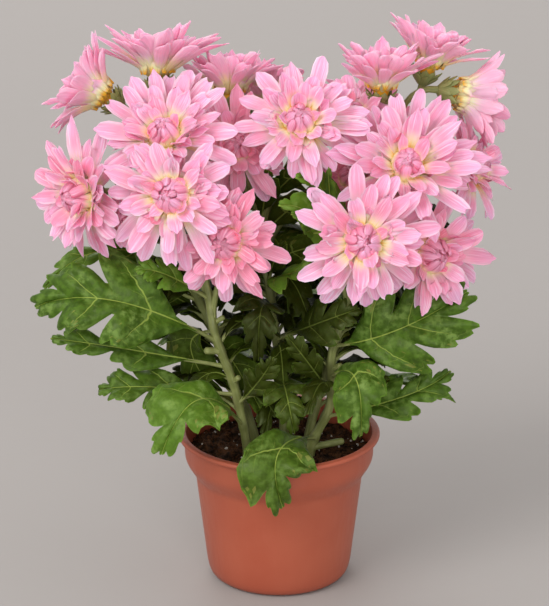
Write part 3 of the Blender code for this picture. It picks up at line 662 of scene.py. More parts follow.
stemPlan = {  # root on the soil, then the points of the main stalk above it
    "front_left": ((-19, -10), ((-26, -12, 122), (-37, -13, 155), (-42, -10, 184), (-50, -8, 222))),
    "back_left": ((-15, 10), ((-32, 14, 130), (-56, 12, 190), (-72, 20, 232))),
    "centre": ((3, 12), ((0, 16, 130), (-8, 18, 190), (-12, 22, 228))),
    "front_right": ((19, -10), ((30, -12, 112), (31, -15, 146), (38, -14, 172), (46, -12, 200))),
    "back_right": ((18, 12), ((34, 16, 140), (56, 16, 190), (68, 20, 232))),
}
stemShape = {
    # heights of the stalk's buried foot and of the soil, and how far the stalk rises upright from it
    "foot": 58.0, "soil": 78.0, "upright": 6.0,
    "radius": 2.9, "topRadius": 2.1, "sides": 14, "flutes": (5, 0.05), "knotSwell": 0.22, "knotLength": 2.6,
    "branchRadius": 1.75, "branchSides": 10, "branchReins": (0.35, 0.4), "branchEnd": -11.0,
    "branchSwell": ((0.35, 14.0), (0.3, 12.0)),   # at its start and its end: share, how soon it fades
    # cut leaf stalks: height of the joint, azimuth, rise in degrees, length, radius
    "stubs": {
        "front_left": ((146, -60, 12, 11, 2.1), (126, 40, 40, 8, 1.6), (163, 80, 35, 8, 1.5)),
        "back_left": ((140, -100, 30, 9, 1.6), (170, 30, 40, 8, 1.5)),
        "centre": ((136, 60, 40, 8, 1.6), (168, -80, 35, 8, 1.5)),
        "front_right": ((84, 84, 14, 20, 2.1), (135, 40, 30, 10, 1.8), (158, -70, 35, 8, 1.5)),
        "back_right": ((132, 90, 35, 9, 1.6), (172, -30, 40, 8, 1.5)),
    },
    "stubSteps": ((0, 0.4, 0.8, 0.93, 1.0), (1.2, 1, 1.05, 1, 0.6)),   # share of its length, of its radius
    # calyx bracts: root radius, root height, length, start angle, droop, half width, number
    "bracts": ((2.0, -12.6, 8.5, 38.0, -16.0, 2.3, 7), (2.4, -11.2, 10.5, 40.0, -22.0, 2.5, 9)),
    # what sets a bract's form apart from a plain petal's, then its rows, columns and thickness
    "bractForm": {"claw": 0.4, "blunt": -0.1, "round": -1.2, "tip": 0.5, "cup": 0.1},
    "bractGrid": ((0, 0.25, 0.5, 0.7, 0.85, 0.95, 1), (-1, -0.5, 0, 0.5, 1), 0.45, (2, 0.5), 0.0),
    "cup": ((1.6, -13.6), (4.2, -11), (7.4, -6.6), (6.0, -6.0)), "cupSides": 16,
}
stemLook = {
    "green": colour(118, 126, 66),
    "pale": colour(150, 156, 98),
    "shade": colour(84, 88, 40),
}


def stemMaterial():
    # Olive green with pale flutes along the stalk and darker joints
    look = stemLook
    material = newMaterial("stem_skin", Roughness=0.5, Specular_IOR_Level=0.4)
    along, turn, under = attributeParts("place")
    knot, _, seed = attributeParts("kind")
    streak = noise(triple(times(turn, 8.0), times(along, 0.6), seed), 1.2, 3.0)
    patch = noise(objectPlace(), 90.0, 2.0)
    base = layered(
        look["green"],
        (spread(streak, 0.3, 0.7), look["pale"]),
        (spread(patch, 0.45, 0.75, 0.0, 0.6), look["shade"]),
        (times(knot, 0.5), look["shade"]),
        (times(under, 0.4), look["pale"]),
    )
    finishWith(base, spread(patch, 0.3, 0.7, 0.42, 0.6), streak, 0.0004, 0.6)
    return material


def stalkPoints(name):
    (x, y), points = stemPlan[name]
    foot = [(x, y, stemShape["foot"]), (x, y, stemShape["soil"] + stemShape["upright"])]
    return np.array([*foot, *points], float)


def stalkPoint(name, height):  # place and direction of the main stalk at a height
    path = stalkPoints(name)
    index = min(int(np.searchsorted(path[:, 2], height)), len(path) - 1)
    low, high = path[max(index - 1, 0)], path[index]
    share = min((height - low[2]) / (high[2] - low[2]), 1.0)
    return low + (high - low) * share, unit(high - low)


def stalkShape(name, knots, rng):
    # The main stalk: a fluted tube along the smooth path that swells at each joint
    s = stemShape
    path = smoothPath(stalkPoints(name), 14)
    share = np.linspace(0, 1, len(path))
    knot = np.exp(-((path[:, 2:] - np.array(knots)) / s["knotLength"]) ** 2).sum(1).clip(0, 1)
    radius = (s["radius"] + (s["topRadius"] - s["radius"]) * share) * (1 + s["knotSwell"] * knot)
    kind = xyz(knot, 0, rng.uniform(0, 20))[:, None]
    return tube(path, radius, s["sides"], share * 16, kind, *s["flutes"])


def stubShape(name, height, azimuth, rise, length, radius, rng):  # a straight stalk with a rounded cut end
    t, swell = np.array(stemShape["stubSteps"])
    path = stalkPoint(name, height)[0] + direction(azimuth, rise) * (t * length)[:, None]
    return tube(path, radius * swell, 10, t * 3, (0.2, 0.0, rng.uniform(0, 20)))


def branchShape(plan, rng):
    # A cubic from the stalk to the calyx that arrives along the bloom's facing axis
    s = stemShape
    centre, (_, _, face), _ = bloomPlace(plan)
    start, ahead = stalkPoint(*plan[:2])
    end = centre + face * s["branchEnd"]
    span = np.linalg.norm(end - start)
    t = np.linspace(0, 1, 16)
    leave, arrive = start + ahead * span * s["branchReins"][0], end - face * span * s["branchReins"][1]
    weights = (1 - t) ** 3, 3 * (1 - t) ** 2 * t, 3 * (1 - t) * t ** 2, t ** 3
    path = np.stack(weights, -1) @ np.stack([start, leave, arrive, end])
    (first, soon), (last, late) = s["branchSwell"]
    radius = s["branchRadius"] * (1 + first * np.exp(-t * soon) + last * np.exp(-(1 - t) * late))
    kind = (0.0, 0.0, rng.uniform(0, 20))
    return tube(path, radius, s["branchSides"], t * span / 9, kind, *s["flutes"])


def calyxShape(plan, rng):
    # Two rings of pointed bracts that hug the underside of the bloom, on a small cup
    s, place = stemShape, bloomPlace(plan)
    centre, axes, scale = place
    shapes = []
    for rootRadius, rootHeight, length, start, droop, half, count in s["bracts"]:
        p = petalTable(count, rootRadius, rootHeight, droop, half * scale)
        p["azimuth"] = fanned(count, 5, rng)
        p["start"] = start + rng.uniform(-4, 4, count)
        p["length"] = length * scale * rng.uniform(0.9, 1.1, count)
        p["seed"] = rng.uniform(0, 40, count)
        for key, change in s["bractForm"].items():
            p[key] += change
        shapes.append(petalBlades(place, p, *s["bractGrid"]))
    cup = turned(np.array(s["cup"]) * scale, s["cupSides"], axes, centre)
    return gather([*shapes, roundSolid(cup, kind=(0.3, 0.0, 5.0))])


# Leaves

# A leaf's low tone paints it olive and darker, as painted shade inside the plant
leafPlan = {  # stem: height of the joint, a point on the midrib, tip, facing, reach, lobe pairs, tone
    "front_left": (
        (152, (-90, -34, 184), (-132, -31, 183), (-8, 34), 36, 2, 0.0),
        (136, (-96, -20, 151), (-131, -20, 156), (-20, 48), 16, 2, -0.1),
        (118, (-75, -30, 130), (-102, -32, 129), (0, 55), 21, 2, -0.3),
        (98, (-44, -48, 130), (-63, -66, 114), (-12, 46), 32, 1, 0.42),
        (178, (-66, -28, 199), (-80, -33, 203), (-10, 50), 15, 2, 0.5),
        (112, (-8, -34, 136), (2, -42, 152), (20, 40), 18, 2, -0.7),
    ),
    "back_left": (
        (186, (-100, 8, 201), (-134, -2, 184), (0, 62), 15, 2, 0.4),
        (168, (-76, -2, 186), (-82, -8, 206), (-70, 10), 11, 1, -0.2),
    ),
    "centre": (
        (175, (4, -18, 195), (24, -28, 203), (0, 60), 15, 2, 0.6),
        (160, (-10, -26, 178), (-12, -34, 156), (0, 30), 19, 2, -0.8),
        (122, (4, -34, 128), (8, -46, 112), (0, 45), 17, 2, -0.6),
        (142, (26, -22, 168), (44, -30, 178), (0, 34), 18, 2, -0.7),
    ),
    "front_right": (
        (90, (1, -58, 99), (-1, -72, 75), (0, 40), 33, 1, -0.35),
        (150, (68, -38, 164), (106, -40, 181), (8, 26), 42, 2, 0.0),
        (104, (70, -25, 121), (97, -22, 134), (20, 52), 20, 2, -0.1),
        (130, (43, -48, 144), (47, -60, 122), (10, 32), 24, 1, 0.1),
        (184, (20, -26, 226), (-2, -42, 246), (0, 40), 16, 2, 0.5),
        (176, (31, -27, 230), (28, -38, 266), (-20, 20), 10, 1, -0.1),
        (120, (12, -34, 150), (-2, -42, 168), (-20, 24), 16, 2, -0.7),
    ),
    "back_right": (),
}
# Leaves set by rule: those at the sides and the back, then small ones within the plant. The stems give
# the lowest joint, the number and the azimuth, and the form is reach, lobe pairs and tone.
leafRules = (
    {"stems": {"back_left": (100, 3, -150.0), "centre": (96, 4, 178.0), "back_right": (100, 3, 128.0)},
     "step": 24.0, "turns": (-34.0, 34.0, -34.0, 34.0), "lengths": (74.0, 58.0), "arch": (16.0, 6.0),
     "facing": 62.0, "form": (24.0, 2, -0.15)},
    {"stems": {"front_left": (114, 2, 60.0), "centre": (104, 2, -15.0), "front_right": (122, 2, -20.0)},
     "step": 17.0, "turns": (0.0, 137.5), "lengths": (46.0, 46.0), "arch": (9.0, -4.0),
     "facing": 48.0, "form": (18.0, 1, -0.75)},
)
leafShape = {
    "stalkShare": 0.18, "tipShare": 0.82, "stalkRadius": 1.3, "thick": 0.5,
    "sinus": 0.3, "lobeReach": (0.78, 1.0, 0.86), "stagger": 0.08, "sweep": (66.0, 22.0),
    "wave": 0.15, "waves": 17.0, "waveShift": 1.3, "fold": 0.16, "roll": 0.35,
    "drifts": (0, 8, -8, 15, -15, 23, -23, 32, -32, 40), "sizes": (1.0, 0.88, 0.76),
    "teeth": 0.23, "toothEdge": 1.6, "toothTurns": (2.4, 1.6), "endTeeth": 2.5, "endRows": 17,
    "puff": 0.06, "uneven": 0.08, "ruffle": 0.1, "ruffles": ((41, 2.1), (27, -1)),
    "footWidth": 0.07,    # share of the reach that the blade has at its foot
    "bump": (0.95, 4.0, 0.8), "wedge": (0.75, 0.8), "end": (0.4, 0.24, 1.2, -0.1), "sweepClose": 1.6,
    "lost": 2.0,          # a leaf whose midrib is further off than this is one that the solid dropped
    # leaves with shallow sinuses and a wide end, by stem and height of the joint
    "broad": {("front_left", 98): 0.5, ("front_right", 90): 0.4, ("front_right", 130): 0.5,
              ("front_right", 150): 0.3, ("front_left", 152): 0.2},
    "broader": {"sinus": 0.26, "end": -0.2, "sweep": (10.0, 24.0)},
    # small leaves between the blooms: the same values as in the plan
    "spare": {
        "front_right": (
            (186, (30, -24, 240), (11, -36, 260), (10, 34), 14, 1, 0.7),
            (182, (24, -26, 228), (2, -34, 243), (-6, 30), 14, 1, 0.6),
        ),
        "front_left": (
            (158, (-52, 4, 142), (-36, -2, 112), (-24, 16), 20, 2, -0.5),
            (146, (-30, 2, 138), (-16, -6, 116), (14, 26), 18, 2, -0.55),
        ),
        "centre": (
            (214, (-8, 6, 236), (-6, -8, 254), (-10, 20), 13, 1, -0.7),
            (222, (6, 12, 244), (22, 6, 260), (10, 16), 12, 1, -0.6),
            (206, (4, 4, 226), (20, -6, 240), (10, 30), 14, 1, -0.7),
            (186, (8, 2, 202), (28, -6, 208), (6, 34), 15, 1, -0.6),
            (178, (-2, -4, 200), (4, -20, 214), (-8, 30), 13, 1, -0.65),
        ),
    },
    "lobeRows": (
        -1, -0.95, -0.9, -0.84, -0.74, -0.6, -0.45, -0.3, -0.15,
        0, 0.15, 0.3, 0.45, 0.6, 0.74, 0.84, 0.9, 0.95,
    ),
    "columns": (1, 0.94, 0.82, 0.64, 0.42, 0.2, 0, -0.2, -0.42, -0.64, -0.82, -0.94, -1),
}
# Their low tones paint these leaves olive and near black, as painted shade in the middle of the plant
deepLeafShape = {  # more small dark leaves that stand clear in the middle
    "number": 56, "heights": (98.0, 232.0), "front": (-30.0, -4.0),   # no leaf comes in front of that y
    "lowest": 100.0, "lengths": (26.0, 44.0), "reach": (11.0, 18.0), "turn": 137.5,
    "arch": (4, 14), "tipRise": (-12, 16), "sideTurn": (-30, 30), "facing": (20, 60), "tone": (-1.0, -0.6),
}
leafLook = {
    "green": colour(76, 106, 30),
    "deep": colour(54, 78, 20),
    "bright": colour(108, 148, 42),
    "olive": colour(62, 62, 12),
    "vein": colour(162, 180, 84),
    "back": colour(116, 120, 54),
    # colour of the painted sheen patches
    "sheenGreen": colour(150, 174, 100),
}


def leafMaterial(name, gloss):
    # Green between pale veins, which are lines where the offset from a lobe's ray or the distance from
    # the midrib falls under a width; clouds of deep green and patches of painted pale sheen lie between
    # them. Leaves of low tone are olive and darker, as painted shade in the plant's middle
    look = leafLook
    material = newMaterial(
        name, Specular_IOR_Level=gloss, Specular_Tint=(0.8, 0.95, 0.5, 1.0), Subsurface_Weight=0.08,
        Subsurface_Radius=(0.6, 1.0, 0.2), Subsurface_Scale=0.001)
    along, across, under = attributeParts("place")
    offset, side, tone = attributeParts("kind")
    coords = objectPlace()
    cloud, patch, pucker = noise(coords, 60.0, 2.0), noise(coords, 240.0, 3.0), noise(coords, 150.0, 2.0)
    wobble = times(calc("SUBTRACT", noise(coords, 160.0, 1.0), 0.5), 0.16)
    fromVein = calc("ABSOLUTE", calc("ADD", offset, wobble))
    ribShare = calc("DIVIDE", calc("ABSOLUTE", across), times(along, -0.3, 0.5))
    veinShare = calc("DIVIDE", fromVein, times(side, -0.026, 0.036))
    vein = times(spread(veinShare, 0.5, 1.5, 1.0, 0.0), spread(side, 0.55, 0.85, 0.8, 0.0))
    steps = times(fromVein, -0.9, times(side, 3.0))
    comb = calc("ABSOLUTE", calc("SUBTRACT", calc("FRACT", calc("ADD", steps, wobble)), 0.5))
    fine = times(spread(comb, 0.0, 0.05, 1.0, 0.0), spread(fromVein, 0.5, 0.1, 0.0, 0.25))
    veins = calc("MAXIMUM", spread(ribShare, 0.7, 1.4, 1.0, 0.0), calc("MAXIMUM", vein, fine))
    # painted sheen: pale patches where two clouds overlap, fading out on dark leaves
    paintedSheen = times(spread(cloud, 0.42, 0.66), spread(patch, 0.42, 0.66))
    base = layered(
        look["deep"],
        (spread(patch, 0.3, 0.7), look["green"]),
        (spread(tone, 0.1, 1.0, 0.0, 0.85), look["bright"]),
        # painted shade: olive over the leaves of low tone
        (spread(tone, -0.1, -1.0, 0.0, 0.85), look["olive"]),
        (times(paintedSheen, spread(tone, -0.8, 0.0, 0.0, 0.3)), look["sheenGreen"]),
        (spread(side, 0.93, 1.0, 0.0, 0.35), look["bright"]),
        (times(veins, 0.7), look["vein"]),
        (times(under, 0.7), look["back"]),
    )
    # painted shade: leaves of low tone darkened to as little as a quarter
    base = shaded(base, spread(tone, -1.0, -0.3, 0.24, 1.0))
    height = calc("SUBTRACT", times(noise(coords, 900.0, 2.0), 0.12, times(pucker, 2.2)), veins)
    finishWith(base, spread(patch, 0.3, 0.7, 0.32, 0.5), height, 0.0006, 0.7)
    return material


def ribCurve(start, middle, tip):  # quadratic through the start, the middle and the tip, and its slope
    pull = middle * 2 - (start + tip) * 0.5

    def place(t):
        t = np.asarray(t)[..., None]
        return start * (1 - t) ** 2 + pull * 2 * t * (1 - t) + tip * t * t

    def ahead(t):
        t = np.asarray(t)[..., None]
        return unit((pull - start) * (1 - t) + (tip - pull) * t)
    return place, ahead


def toothed(turns, x):  # the edge falls back between teeth that stand where cos(turns pi x) is 1 or -1
    return 1 - leafShape["teeth"] * (1 - np.abs(np.cos(turns * np.pi * x))) ** leafShape["toothEdge"]


def leafRows(lobes, broad):
    # For each row: share along the midrib, share of the reach, offset from the lobe's vein
    s, foot = leafShape, leafShape["footWidth"]
    sinus = s["sinus"] + s["broader"]["sinus"] * broad
    step = (s["tipShare"] - s["stalkShare"]) / lobes
    x = np.array(s["lobeRows"])
    bumpWidth, squareness, fullness = s["bump"]
    bump = (1 - np.minimum(np.abs(x) / bumpWidth, 1) ** squareness) ** fullness
    tooth = toothed(s["toothTurns"][min(lobes, 2) - 1], x)
    rows = [[(s["stalkShare"] * 0.72, 0.03, -1.0), (s["stalkShare"] * 0.9, 0.05, -1.0)]]
    for lobe in range(lobes):
        share = s["lobeReach"][lobe - lobes]
        low = np.where(x < 0, foot if lobe == 0 else sinus, sinus)
        reach = low + (share - low) * bump * tooth
        if lobe == 0:
            wedge = foot + (share - foot) * np.clip((x + 1) / s["wedge"][0], 0, 1) ** s["wedge"][1]
            reach = np.where(x < -0.2, np.minimum(wedge, reach + 0.1), reach)
        rows.append(xyz(s["stalkShare"] + step * (lobe + 0.5 + 0.5 * x), reach, x))
    w = np.linspace(0, 1, s["endRows"])
    width, swell, roundness, narrowing = s["end"]
    end = width + swell * np.sin(np.pi * np.minimum(w * 0.92 + 0.02, 1)) ** roundness + narrowing * w
    end = (1 + s["broader"]["end"] * broad) * end * toothed(s["endTeeth"], 1 - w)
    rows.append(xyz(s["tipShare"] + (1 - s["tipShare"]) * w, end, 1 - w))
    return np.concatenate(rows)


def leafBlade(start, middle, tip, facing, reach, lobes, tone, rng, broad=0.0, coarse=1):
    # Rays leave the midrib at a sweep angle and reach to the lobed edge; the sheet is folded along
    # the midrib, waved towards its edge and puffed up between its veins.
    s = leafShape
    place, ahead = ribCurve(start, middle, tip)
    length = np.linalg.norm(np.diff(place(np.linspace(0, 1, 9)), axis=0), axis=1).sum()
    columns = np.array(s["columns"][::coarse], float)
    along, share, offset = leafRows(lobes, broad)[::coarse].T[..., None]
    sign, side = np.sign(columns), np.abs(columns)
    step = (s["tipShare"] - s["stalkShare"]) / lobes
    closing = np.clip((along - s["tipShare"]) / (1 - s["tipShare"]), 0, 1)
    first, last = np.array(s["sweep"]) + np.array(s["broader"]["sweep"]) * broad
    sweep = np.radians((first + (last - first) * along) * (1 - closing ** s["sweepClose"]))
    uneven = np.sin(9 * along + rng.uniform(0, 6) + 2 * sign)
    uneven = uneven + 0.7 * np.sin(31 * along + rng.uniform(0, 6) + sign)
    ray = share * reach * (1 + s["uneven"] * uneven * (1 - closing)) * side
    stagger = s["stagger"] * step * length * sign * np.minimum(side * 4, 1) * (1 - closing)
    x = along * length + stagger + ray * np.cos(sweep) + 0.05 * ray * side
    y = sign * ray * np.sin(sweep)
    t = x / length
    face, aheadHere = direction(*facing), ahead(t)
    normal = unit(face - aheadHere * (aheadHere @ face)[..., None])
    beside = np.cross(aheadHere, normal)
    outness = np.abs(y) / reach
    waves = np.sin(t * s["waves"] + s["waveShift"] * (y > 0)) * s["wave"] * outness
    ruffle = sum(np.sin(t * turns + shift * sign + rng.uniform(0, 6)) for turns, shift in s["ruffles"])
    puff = np.sin(np.pi * np.minimum(np.abs(offset) * 1.05, 1))
    puff = puff * ease(side, 0.05, 0.35) * (1 - ease(side, 0.8, 1))
    bulge = s["puff"] * (puff + 0.6 * ease(side, 0, 0.2))
    lift = (s["fold"] - s["roll"] * outness) * np.abs(y)
    lift += reach * (waves + s["ruffle"] * ruffle * outness ** 2 + bulge)
    upper = place(t) + beside * y[..., None] + normal * (lift + s["thick"] / 2)[..., None]
    kind = xyz(np.broadcast_to(offset, t.shape), side, tone)[None]
    blade = bladeSolid(upper[None], normal[None], s["thick"], xyz(t, y, 0)[None], kind, shutTip=True)
    u = np.linspace(0, 0.93, 22)
    line, lineAhead = place(u), ahead(u)
    lineNormal = unit(face - lineAhead * (lineAhead @ face)[:, None])
    radius = s["stalkRadius"] * (1 - 0.35 * ease(u, 0, 0.25)) * (1 - 0.72 * ease(u, 0.18, 0.93))
    radius[0] *= 1.3
    line = line - lineNormal * (radius * 0.7 * ease(u, 0.06, 0.2))[:, None]
    return blade, tube(line, radius, 8, u * 8, (0.0, tone, rng.uniform(0, 20)))


def leavesOf(stem):  # the leaves of the front by their table, and the others by their rules
    leaves = list(leafPlan[stem])
    for rule in leafRules:
        lowest, count, azimuth = rule["stems"].get(stem, (0, 0, 0))
        for index in range(count):
            height, turn = lowest + rule["step"] * index, azimuth + rule["turns"][index]
            length = np.interp(index, (0, count - 1), rule["lengths"])
            out, start = direction(turn, 0), stalkPoint(stem, height)[0]
            middle = start + out * length * 0.5 + (0, 0, rule["arch"][0])
            tip = start + out * length + (0, 0, rule["arch"][1])
            leaves.append((height, middle, tip, (turn, rule["facing"]), *rule["form"]))
    return leaves


def fittedLeaf(stem, height, middle, tip, facing, reach, *rest):
    # Of the ways to bend a leaf clear, the one whose midrib lies in the solid of its stem
    start = stalkPoint(stem, height)[0]
    best = (9.0, None)
    for size in leafShape["sizes"]:
        for drift in leafShape["drifts"]:
            bentMiddle = start + (np.array(middle) + (0, 0, drift * 0.5) - start) * size
            bentTip = start + (np.array(tip) + (0, 0, drift) - start) * size
            place, _ = ribCurve(start, bentMiddle, bentTip)
            gap = gapTo("stem_" + stem, place(np.array((0.3, 0.5, 0.7, 0.85, 0.97))))
            if gap < best[0] - 0.05:
                best = (gap, (start, bentMiddle, bentTip, facing, reach * size, *rest))
    return best


def deepLeaves(stem, rng):
    # Small dark leaves in the middle of the plant, each kept only where it is clear of the other solids
    s = deepLeafShape
    others = [solid for name, solid in solids.items() if name != "stem_" + stem]
    heights = np.linspace(*s["heights"], s["number"]) + rng.uniform(-5, 5, s["number"])
    turns = rng.uniform(0, 360) + s["turn"] * np.arange(s["number"])
    kept = []
    for height, turn in zip(heights, turns):
        length, reach = rng.uniform(*s["lengths"]), rng.uniform(*s["reach"])
        start, out = stalkPoint(stem, height)[0], direction(turn, 0)
        middle = start + out * length * 0.5 + (0, 0, rng.uniform(*s["arch"]))
        tip = start + out * length + (0, 0, rng.uniform(*s["tipRise"]))
        facing = (turn + rng.uniform(*s["sideTurn"]), rng.uniform(*s["facing"]))
        place, ahead = ribCurve(start, middle, tip)
        t = np.array((0.25, 0.45, 0.65, 0.85, 1.0))
        beside = unit(np.cross(ahead(t), direction(*facing)))
        probe = place(t)[:, None] + beside[:, None] * (np.array((-0.8, 0, 0.8)) * reach)[:, None]
        probe = np.concatenate([probe, probe[::-1] + direction(*facing) * 3])
        front = np.interp(probe[..., 2], s["heights"], s["front"])
        inside = probe[..., 2].min() > s["lowest"] and np.all(probe[..., 1] > front)
        if inside and isClear(probe, others):
            kept.append((start, middle, tip, facing, reach, 1, rng.uniform(*s["tone"])))
    return kept


def makeStem(stem, skin, blade, innerBlade):
    rng = np.random.default_rng(random.Random(stem).randrange(1 << 30))
    s = leafShape
    stalks, blades, innerBlades, calyxes, knots, gaps = [], [], [], [], [], []
    for leaf in leavesOf(stem):
        gap, fitted = fittedLeaf(stem, *leaf)
        gaps.append(round(gap, 2))
        if gap < s["lost"]:
            sheet, stalk = leafBlade(*fitted, rng, s["broad"].get((stem, leaf[0]), 0.0))
            blades.append(sheet)
            stalks.append(stalk)
            knots.append(leaf[0])
    spare = [(stalkPoint(stem, leaf[0])[0], *leaf[1:]) for leaf in s["spare"].get(stem, ())]
    for start, middle, tip, *rest in spare + deepLeaves(stem, rng):
        sheet, stalk = leafBlade(start, np.array(middle, float), np.array(tip, float), *rest, rng, 0.5, 2)
        (blades if rest[-1] > 0 else innerBlades).append(sheet)
        stalks.append(stalk)
    for stub in stemShape["stubs"][stem]:
        stalks.append(stubShape(stem, *stub, rng))
        knots.append(stub[0])
    for plan in blooms.values():
        if plan[0] == stem:
            stalks.append(branchShape(plan, rng))
            calyxes.append(calyxShape(plan, rng))
            knots.append(plan[1])
    stalks.insert(0, stalkShape(stem, knots, rng))
    for name, shapes, material in (
            ("stalks_", stalks, skin), ("leaves_", blades, blade),
            ("inner_leaves_", innerBlades, innerBlade), ("calyxes_", calyxes, skin)):
        addPiece(name + stem, gather(shapes), material, ["stem_" + stem])
    print("stem", stem, "has", len(blades), "leaves,", len(innerBlades), "inner ones; off the solid by", gaps)


foliage = (stemMaterial(), leafMaterial("leaf_blade", 0.32), leafMaterial("inner_leaf_blade", 0.08))
for stem in stemPlan:
    makeStem(stem, *foliage)


# Pot

potShape = {  # corners of the profile: radius, height, rounding
    "outside": (
        (0, 0.9, 0), (28.0, 0.9, 0.5), (29.4, 0.0, 0.5), (40.6, 0.0, 6.0), (42.9, 9.0, 3.0),
        (49.6, 64.5, 2.5), (56.0, 74.5, 4.0), (56.2, 88.1, 0.5), (59.4, 88.2, 0.9), (60.0, 89.4, 0.8),
        (59.3, 91.0, 0.9),
    ),
    "inside": (
        (55.2, 91.0, 1.0), (54.9, 87.0, 1.0), (54.9, 75.0, 3.0), (48.3, 65.0, 2.5), (41.2, 8.0, 4.0),
        (36.0, 1.8, 1.5), (0, 1.8, 0),
    ),
    "sides": 160,
    "holes": 4, "holeRadius": 4.0, "holeCircle": 24.0,
}
potLook = {"clay": colour(166, 80, 56), "light": colour(178, 94, 68), "deep": colour(146, 66, 45)}


def potMaterial():
    # Moulded plastic: even clay red with faint clouds, dust and fine upright scuffs, darker towards the
    # bottom
    look = potLook
    material = newMaterial("clay_red_plastic", Roughness=0.42, Specular_IOR_Level=0.45)
    coords = objectPlace()
    cloud, grain = noise(coords, 22.0, 3.0), noise(coords, 1400.0, 2.0)
    x, y, z = parts(coords)
    scuffs = noise(triple(x, y, times(z, 0.08)), 420.0, 3.0, 0.7)
    base = layered(
        look["clay"],
        (spread(cloud, 0.3, 0.7, 0.0, 0.5), look["light"]),
        (spread(scuffs, 0.55, 0.8, 0.0, 0.25), look["light"]),
        # darker towards the bottom, within 30 mm of the floor
        (spread(z, 0.03, 0.0, 0.0, 0.35), look["deep"]),
    )
    roughness = spread(times(cloud, 0.5, scuffs), 0.5, 1.0, 0.36, 0.52)
    finishWith(base, roughness, times(grain, 0.4, scuffs), 0.00006, 0.5)
    return material


def roundedLine(corners, steps):
    # Each corner gives way to a quadratic curve that starts and ends its rounding away from it
    c = np.array(corners, float)
    place, rounding = c[:, :2], c[:, 2:]
    before = np.vstack([place[:1], place[:-1]])
    after = np.vstack([place[1:], place[-1:]])
    start, end = place + unit(before - place) * rounding, place + unit(after - place) * rounding
    t = np.linspace(0, 1, steps)[:, None, None]
    curve = (1 - t) ** 2 * start + 2 * t * (1 - t) * place + t * t * end
    line = curve.transpose(1, 0, 2).reshape(-1, 2)
    fresh = np.concatenate([[True], np.linalg.norm(np.diff(line, axis=0), axis=1) > 1e-4])
    return line[fresh]


def makePot(material):
    # The profile turned round Z, closed by its first and last points on the axis, with drilled holes
    s = potShape
    line = roundedLine(s["outside"] + s["inside"], 6)
    shape = roundSolid(turned(line[1:-1], s["sides"]), ends=[(0, 0, line[0, 1]), (0, 0, line[-1, 1])])
    pot = addPiece("pot_shell", shape, material, ["pot"], 40)
    for index in range(s["holes"]):
        turn = 2 * math.pi * (index + 0.5) / s["holes"]
        place = Vector((math.cos(turn), math.sin(turn), 0)) * s["holeCircle"] * mm
        radius = s["holeRadius"] * mm
        bpy.ops.mesh.primitive_cylinder_add(vertices=32, radius=radius, depth=0.02, location=place)
        cutter = bpy.context.object
        modifier = pot.modifiers.new("hole", "BOOLEAN")
        modifier.operation, modifier.object, modifier.solver = "DIFFERENCE", cutter, "EXACT"
        cutMesh = bpy.data.meshes.new_from_object(pot.evaluated_get(bpy.context.evaluated_depsgraph_get()))
        pot.modifiers.clear()
        pot.data = cutMesh
        bpy.data.objects.remove(cutter, do_unlink=True)


makePot(potMaterial())
print("pot: turned with", potShape["holes"], "holes")


# Soil

soilShape = {
    "wall": ((0, 2.1, 0), (34.0, 2.1, 2.0), (40.9, 8.5, 4.0), (48.0, 65.5, 2.5), (54.4, 75.5, 3.0)),
    "rim": 54.4, "top": 78.0, "rings": 70, "sides": 180,
    "waves": 1.1, "lumps": ((1.0, 7.0), (0.7, 3.2), (0.45, 1.7), (0.25, 0.9)),   # height, size
    "dip": 1.2, "dipStart": 50.0,
    "grainHeights": (-55, -18, 20, 58), "grainSides": 6, "grainCircle": 53.0,
    # grains: number, least and greatest size, how far each stands out, seed
    "crumbs": (900, (0.5, 1.9), 0.25, 11), "perlite": (110, (0.35, 1.0), 0.45, 12),
}
soilLook = {
    "black": colour(30, 18, 9), "brown": colour(92, 58, 32), "light": colour(158, 116, 80),
    "perlite": colour(226, 220, 210), "perliteShade": colour(176, 166, 152),
}


def soilMaterial(name, lightShare):
    # Dark brown crumbs of two sizes, with lighter fibres here and there
    look = soilLook
    material = newMaterial(name, Roughness=0.95, Specular_IOR_Level=0.2)
    coarse, fine = noise(objectPlace(), 260.0, 4.0, 0.65), noise(objectPlace(), 1100.0, 3.0, 0.7)
    base = layered(
        look["black"],
        (spread(coarse, 0.35, 0.65), look["brown"]),
        (spread(fine, 0.55, 0.75, 0.0, lightShare), look["light"]),
    )
    finishWith(base, None, calc("ADD", coarse, fine), 0.0012, 0.9)
    return material


def perliteMaterial():
    # White foamed grains with shaded pores
    material = newMaterial("perlite_grain", Roughness=0.8)
    pores = noise(objectPlace(), 1500.0, 3.0, 0.6)
    base = blend(spread(pores, 0.4, 0.7), soilLook["perlite"], soilLook["perliteShade"])
    finishWith(base, None, pores, 0.0004, 0.8)
    return material


def lumps(x, y, size, seed):
    # Value noise: random heights on a square lattice of the given size, eased from one to the next
    heights = np.random.default_rng(seed).uniform(-1, 1, (64, 64))
    gx, gy = x / size + 31.3, y / size + 31.7
    i, j = np.floor(gx).astype(int), np.floor(gy).astype(int)
    a, b = ease(gx - i, 0, 1), ease(gy - j, 0, 1)
    i, j = i % 63, j % 63
    low = heights[i, j] * (1 - a) + heights[i + 1, j] * a
    high = heights[i, j + 1] * (1 - a) + heights[i + 1, j + 1] * a
    return low * (1 - b) + high * b


def soilHeight(x, y):
    # Crossed waves as in the solid, with lumps of four sizes on them and a dip along the wall
    s = soilShape
    waves = np.sin(x * 0.21 + 1.0) * np.cos(y * 0.17) + 0.6 * np.sin(x * 0.47 - y * 0.39)
    rough = sum(height * lumps(x, y, size, seed) for seed, (height, size) in enumerate(s["lumps"], 1))
    return s["top"] + s["waves"] * waves + rough - s["dip"] * ease(np.hypot(x, y), s["dipStart"], s["rim"])


